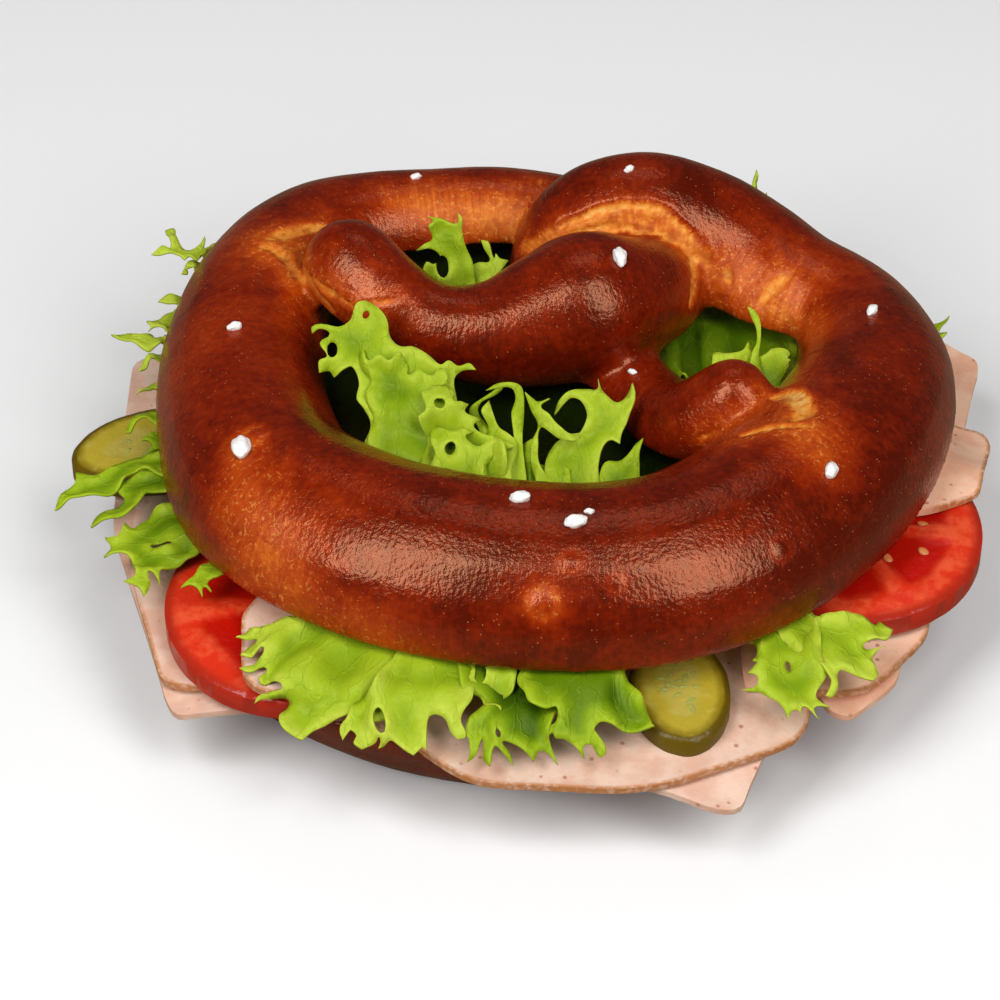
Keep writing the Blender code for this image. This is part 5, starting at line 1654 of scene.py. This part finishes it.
def leaf_places(leaf, flat, margin, width, depth, rng):
    """Where the flat blade's points lie on its net, with folds that grow towards the margin and curls."""
    net = leaf["net"]
    s = np.clip(flat[:, 0] / width, 0, 1)
    share = np.clip(flat[:, 1] / depth, 0, 1)
    beyond = np.maximum(flat[:, 1] - depth, 0)

    def on_net(along, out):
        rows, columns = curve_weights(out, len(net)), curve_weights(along, net.shape[1])
        return np.einsum("ni,nj,ijk->nk", rows, columns, net)

    place = on_net(s, share)
    along = unit(on_net(np.minimum(s + NET_STEP, 1), share) - on_net(np.maximum(s - NET_STEP, 0), share))
    outward = on_net(s, np.minimum(share + NET_STEP, 1)) - on_net(s, np.maximum(share - NET_STEP, 0))
    outward = unit(outward - along * (outward * along).sum(axis=1)[:, None])
    facing = np.cross(along, outward)
    facing = facing * np.where(facing[:, 2] < 0, -1, 1)[:, None]

    first, second, third, fourth = rng.uniform(0, 2 * math.pi, 4)
    phase = 2 * math.pi * leaf["folds"] * s + first + 0.8 * np.sin(2 * math.pi * s + second)
    height = leaf["fold_height"] * np.minimum(flat[:, 1] / depth, 1.5) ** FOLD_GROWTH
    lift = np.sin(phase) + 0.3 * np.sin(2.3 * phase + second)
    shift = FOLD_LEAN * np.sin(2 * phase + third)
    edge = smooth_step(margin, 6, 0) * smooth_step(flat[:, 1] / depth, 0.2, 0.7) * min(1, width / 20)
    if leaf["cut"]:
        height = leaf["fold_height"] * smooth_step(flat[:, 1] / depth, 0.0, 0.5)
        lift = CRUMPLE * bumpy(np.column_stack([flat, 0 * share]), CRUMPLE_SIZE, leaf["seed"])
        shift = FOLD_LEAN * bumpy(np.column_stack([flat, 0 * share]), CRUMPLE_SIZE, leaf["seed"] + 300)
        edge *= CUT_FRILL
    turns = flat[:, 0] * 2 * math.pi / FRILL_LENGTH
    frill = FRILL_HEIGHT * edge * np.sin(turns + fourth + 1.5 * np.sin(flat[:, 0] / 7 + third))
    uneven = bumpy(np.column_stack([flat, 0 * share]), 4.0, leaf["seed"] + 500)
    curl = smooth_step(margin, 3.2, 0) * (0.35 + uneven) * CURL_HEIGHT * min(1, width / 16)
    raised = height * lift + frill + curl
    place = place + facing * raised[:, None] + along * (height * shift)[:, None]

    turn = np.zeros(len(flat))
    if leaf["lobes"]:
        shares = np.array([share for share, _, _ in leaf["lobes"]])
        middles = (np.cumsum(shares) - shares / 2) / shares.sum()
        curls = rng.uniform(*LOBE_CURL, len(middles))
        turn = np.interp(s, middles, curls) * np.minimum(beyond / 6, 1.3)
    place = place + outward * (beyond * np.cos(turn))[:, None] + facing * (beyond * np.sin(turn))[:, None]
    return place + along * (flat[:, 0] - s * width)[:, None], raised


def out_of_the_crust(points, path):
    """Moves leaf points out of the upper half, and up off the filling."""
    points = points.copy()
    strand = path[:, :3] + (0, 0, FILLING_HEIGHT)
    ceiling = UPPER_CUT - LEAF_CLEARANCE
    for _ in range(CLEARING_PASSES):
        offsets = points[:, None, :] - strand[None, :, :]
        distances = np.linalg.norm(offsets, axis=2)
        depths = path[:, 3] + LEAF_CLEARANCE - distances
        worst = depths.argmax(axis=1)
        rows = np.arange(len(points))
        depth = depths[rows, worst]
        over = points[:, 2] - ceiling
        inside = (depth > 0) & (over > 0)
        sinks = inside & (over <= depth)
        points[sinks, 2] = ceiling
        pushed = inside & ~sinks
        away = offsets[rows, worst] / np.maximum(distances[rows, worst], 1e-6)[:, None]
        points[pushed] += away[pushed] * depth[pushed, None]
        if not inside.any():
            break
    points[:, 2] = np.maximum(points[:, 2], floor_under(points[:, :2]) + LEAF_LIFT)
    return points


def round_hole(across, outward, radius):
    turns = np.linspace(0, 2 * math.pi, 14, endpoint=False)
    wobble = 1 + 0.15 * np.sin(2 * turns + across)
    ring = np.column_stack([0.8 * np.cos(turns), np.sin(turns)]) * (radius * wobble)[:, None]
    return ring + (across, outward)


def make_blade(leaf, path):
    """A blade's points, faces and measures."""
    rng = np.random.default_rng(leaf["seed"])
    net = leaf["net"]
    width = np.linalg.norm(np.diff(net[-1], axis=0), axis=1).sum() * 1.1
    depth = np.linalg.norm(np.diff(net, axis=0), axis=2).sum(axis=0).mean()
    if leaf["cut"]:
        outline = with_root(cut_line(leaf["cut"]))
    else:
        outline = with_root(frilled_line(leaf, width, depth, rng))
    holes = [round_hole(*hole) for hole in leaf["holes"]]
    flat, faces = filled(outline, min(LEAF_STEP, 0.4 + width / 25), holes)
    margin = -distance_outside(flat, outline)
    for hole in holes:
        margin = np.minimum(margin, distance_outside(flat, hole))
    wanted, raised = leaf_places(leaf, flat, margin, width, depth, rng)
    points = wanted
    for _ in range(3):
        moved = out_of_the_crust(points, path) - wanted
        for axis in range(3):
            moved[:, axis] = evened(moved[:, axis], faces, 3)
        points = wanted + moved
    points = out_of_the_crust(points, path)
    measures = {
        "margin": margin,
        "across": flat[:, 0] + 40 * leaf["seed"],
        "outward": flat[:, 1],
        "raised": raised,
        "dark": np.full(len(flat), leaf["dark"]),
    }
    return points, faces, measures


def make_leaf(node, blades, path, material):
    made = [make_blade(leaf, path) for leaf in blades]
    points = np.vstack([part[0] for part in made])
    starts = np.cumsum([0] + [len(part[0]) for part in made])
    faces = [tuple(int(k + start) for k in face) for start, part in zip(starts, made) for face in part[1]]
    mesh = bpy.data.meshes.new(node)
    mesh.from_pydata([tuple(point) for point in points], [], faces)
    obj = add_object(node + "_leaf", mesh)
    for name in made[0][2]:
        keep_measure(mesh, name, np.concatenate([part[2][name] for part in made]))
    mesh.materials.append(material)
    add_modifier(obj, "thick", "SOLIDIFY", thickness=LEAF_THICKNESS, offset=0.0)
    apply_modifiers(obj)
    serve(obj, "lettuce", node)


# The darkest stops are painted shade, reached by the beds laid in the holes.
LETTUCE_SHADES = [
    (0.00, (0.47, 0.58, 0.050)),
    (0.16, (0.33, 0.45, 0.014)),
    (0.40, (0.17, 0.275, 0.004)),
    (0.62, (0.075, 0.15, 0.0012)),
    (0.80, (0.027, 0.065, 0.0006)),
    (1.00, (0.006, 0.012, 0.0003)),
]


LETTUCE_SHEEN = (0.9, 1.0, 0.4, 1)
LETTUCE_RIBS = (0.42, 0.55, 0.06, 1)
LETTUCE_VEINS = (0.12, 0.22, 0.004, 1)


def make_lettuce_material():
    finish = {"Roughness": 0.38, "Specular_IOR_Level": 0.24, "Specular_Tint": LETTUCE_SHEEN}
    material, tree, shader = new_material("lettuce", **finish, Subsurface_Weight=0.35, Subsurface_Scale=0.0015)
    shader.inputs["Subsurface Radius"].default_value = (0.6, 1.0, 0.15)
    place = millimetres(tree)
    on_blade = {0: measured(tree, "across"), 1: measured(tree, "outward")}
    flat = add_node(tree, "CombineXYZ", on_blade).outputs[0]
    bent = add_node(tree, "TexNoise", {"Vector": flat, "Scale": 0.25, "Detail": 2.0}).outputs["Color"]
    swayed = add_node(tree, "VectorMath", {0: bent, 1: (5, 5, 0), 2: flat}, operation="MULTIPLY_ADD")
    swayed = swayed.outputs[0]
    stretched = add_node(tree, "Mapping", {"Vector": swayed, "Scale": (1, 0.4, 1)}).outputs[0]
    cells = add_node(tree, "TexVoronoi", {"Vector": stretched, "Scale": 0.20}, feature="DISTANCE_TO_EDGE")
    ribs = fade(tree, cells.outputs["Distance"], 0.06, 0.0)
    small = add_node(tree, "TexVoronoi", {"Vector": swayed, "Scale": 0.65}, feature="DISTANCE_TO_EDGE")
    veins = fade(tree, small.outputs["Distance"], 0.08, 0.0)
    # Painted shade: a blade with more of it is darker green, down to near black for the beds in the holes.
    dark = measured(tree, "dark")
    clouds = mottle(tree, place, 7.0, 3.0)
    ramped = calc(tree, "ADD", measured(tree, "margin"), calc(tree, "MULTIPLY_ADD", clouds, 4.0, -2.0))
    inner = calc(tree, "MULTIPLY_ADD", dark, 0.75, 0.14)
    outer = calc(tree, "MULTIPLY", dark, 0.5)
    tone = calc(tree, "MULTIPLY_ADD", fade(tree, ramped, 0.0, 5.0), inner, outer)
    # Painted shade in the folds: the hollows of a blade are darker green than its ridges.
    tone = calc(tree, "ADD", tone, fade(tree, measured(tree, "raised"), 0.8, -1.0, 0.0, 0.17))
    colour = shades(tree, tone, LETTUCE_SHADES)
    pale = calc(tree, "SUBTRACT", 1.0, dark)
    ribbed = calc(tree, "MULTIPLY", ribs, calc(tree, "MULTIPLY", pale, 0.10))
    colour = blend(tree, ribbed, colour, LETTUCE_RIBS)
    veined = calc(tree, "MULTIPLY", veins, calc(tree, "MULTIPLY", pale, 0.09))
    colour = blend(tree, veined, colour, LETTUCE_VEINS)
    tree.links.new(colour, shader.inputs["Base Color"])
    surface = relief(tree, ribs, 0.10)
    surface = relief(tree, veins, -0.02, surface)
    surface = relief(tree, mottle(tree, place, 3.0, 2.0), 0.12, surface)
    tree.links.new(surface, shader.inputs["Normal"])
    return material


lettuce_material = make_lettuce_material()
strand = strand_path()
for node, blades in LETTUCE.items():
    make_leaf(node, blades, strand, lettuce_material)
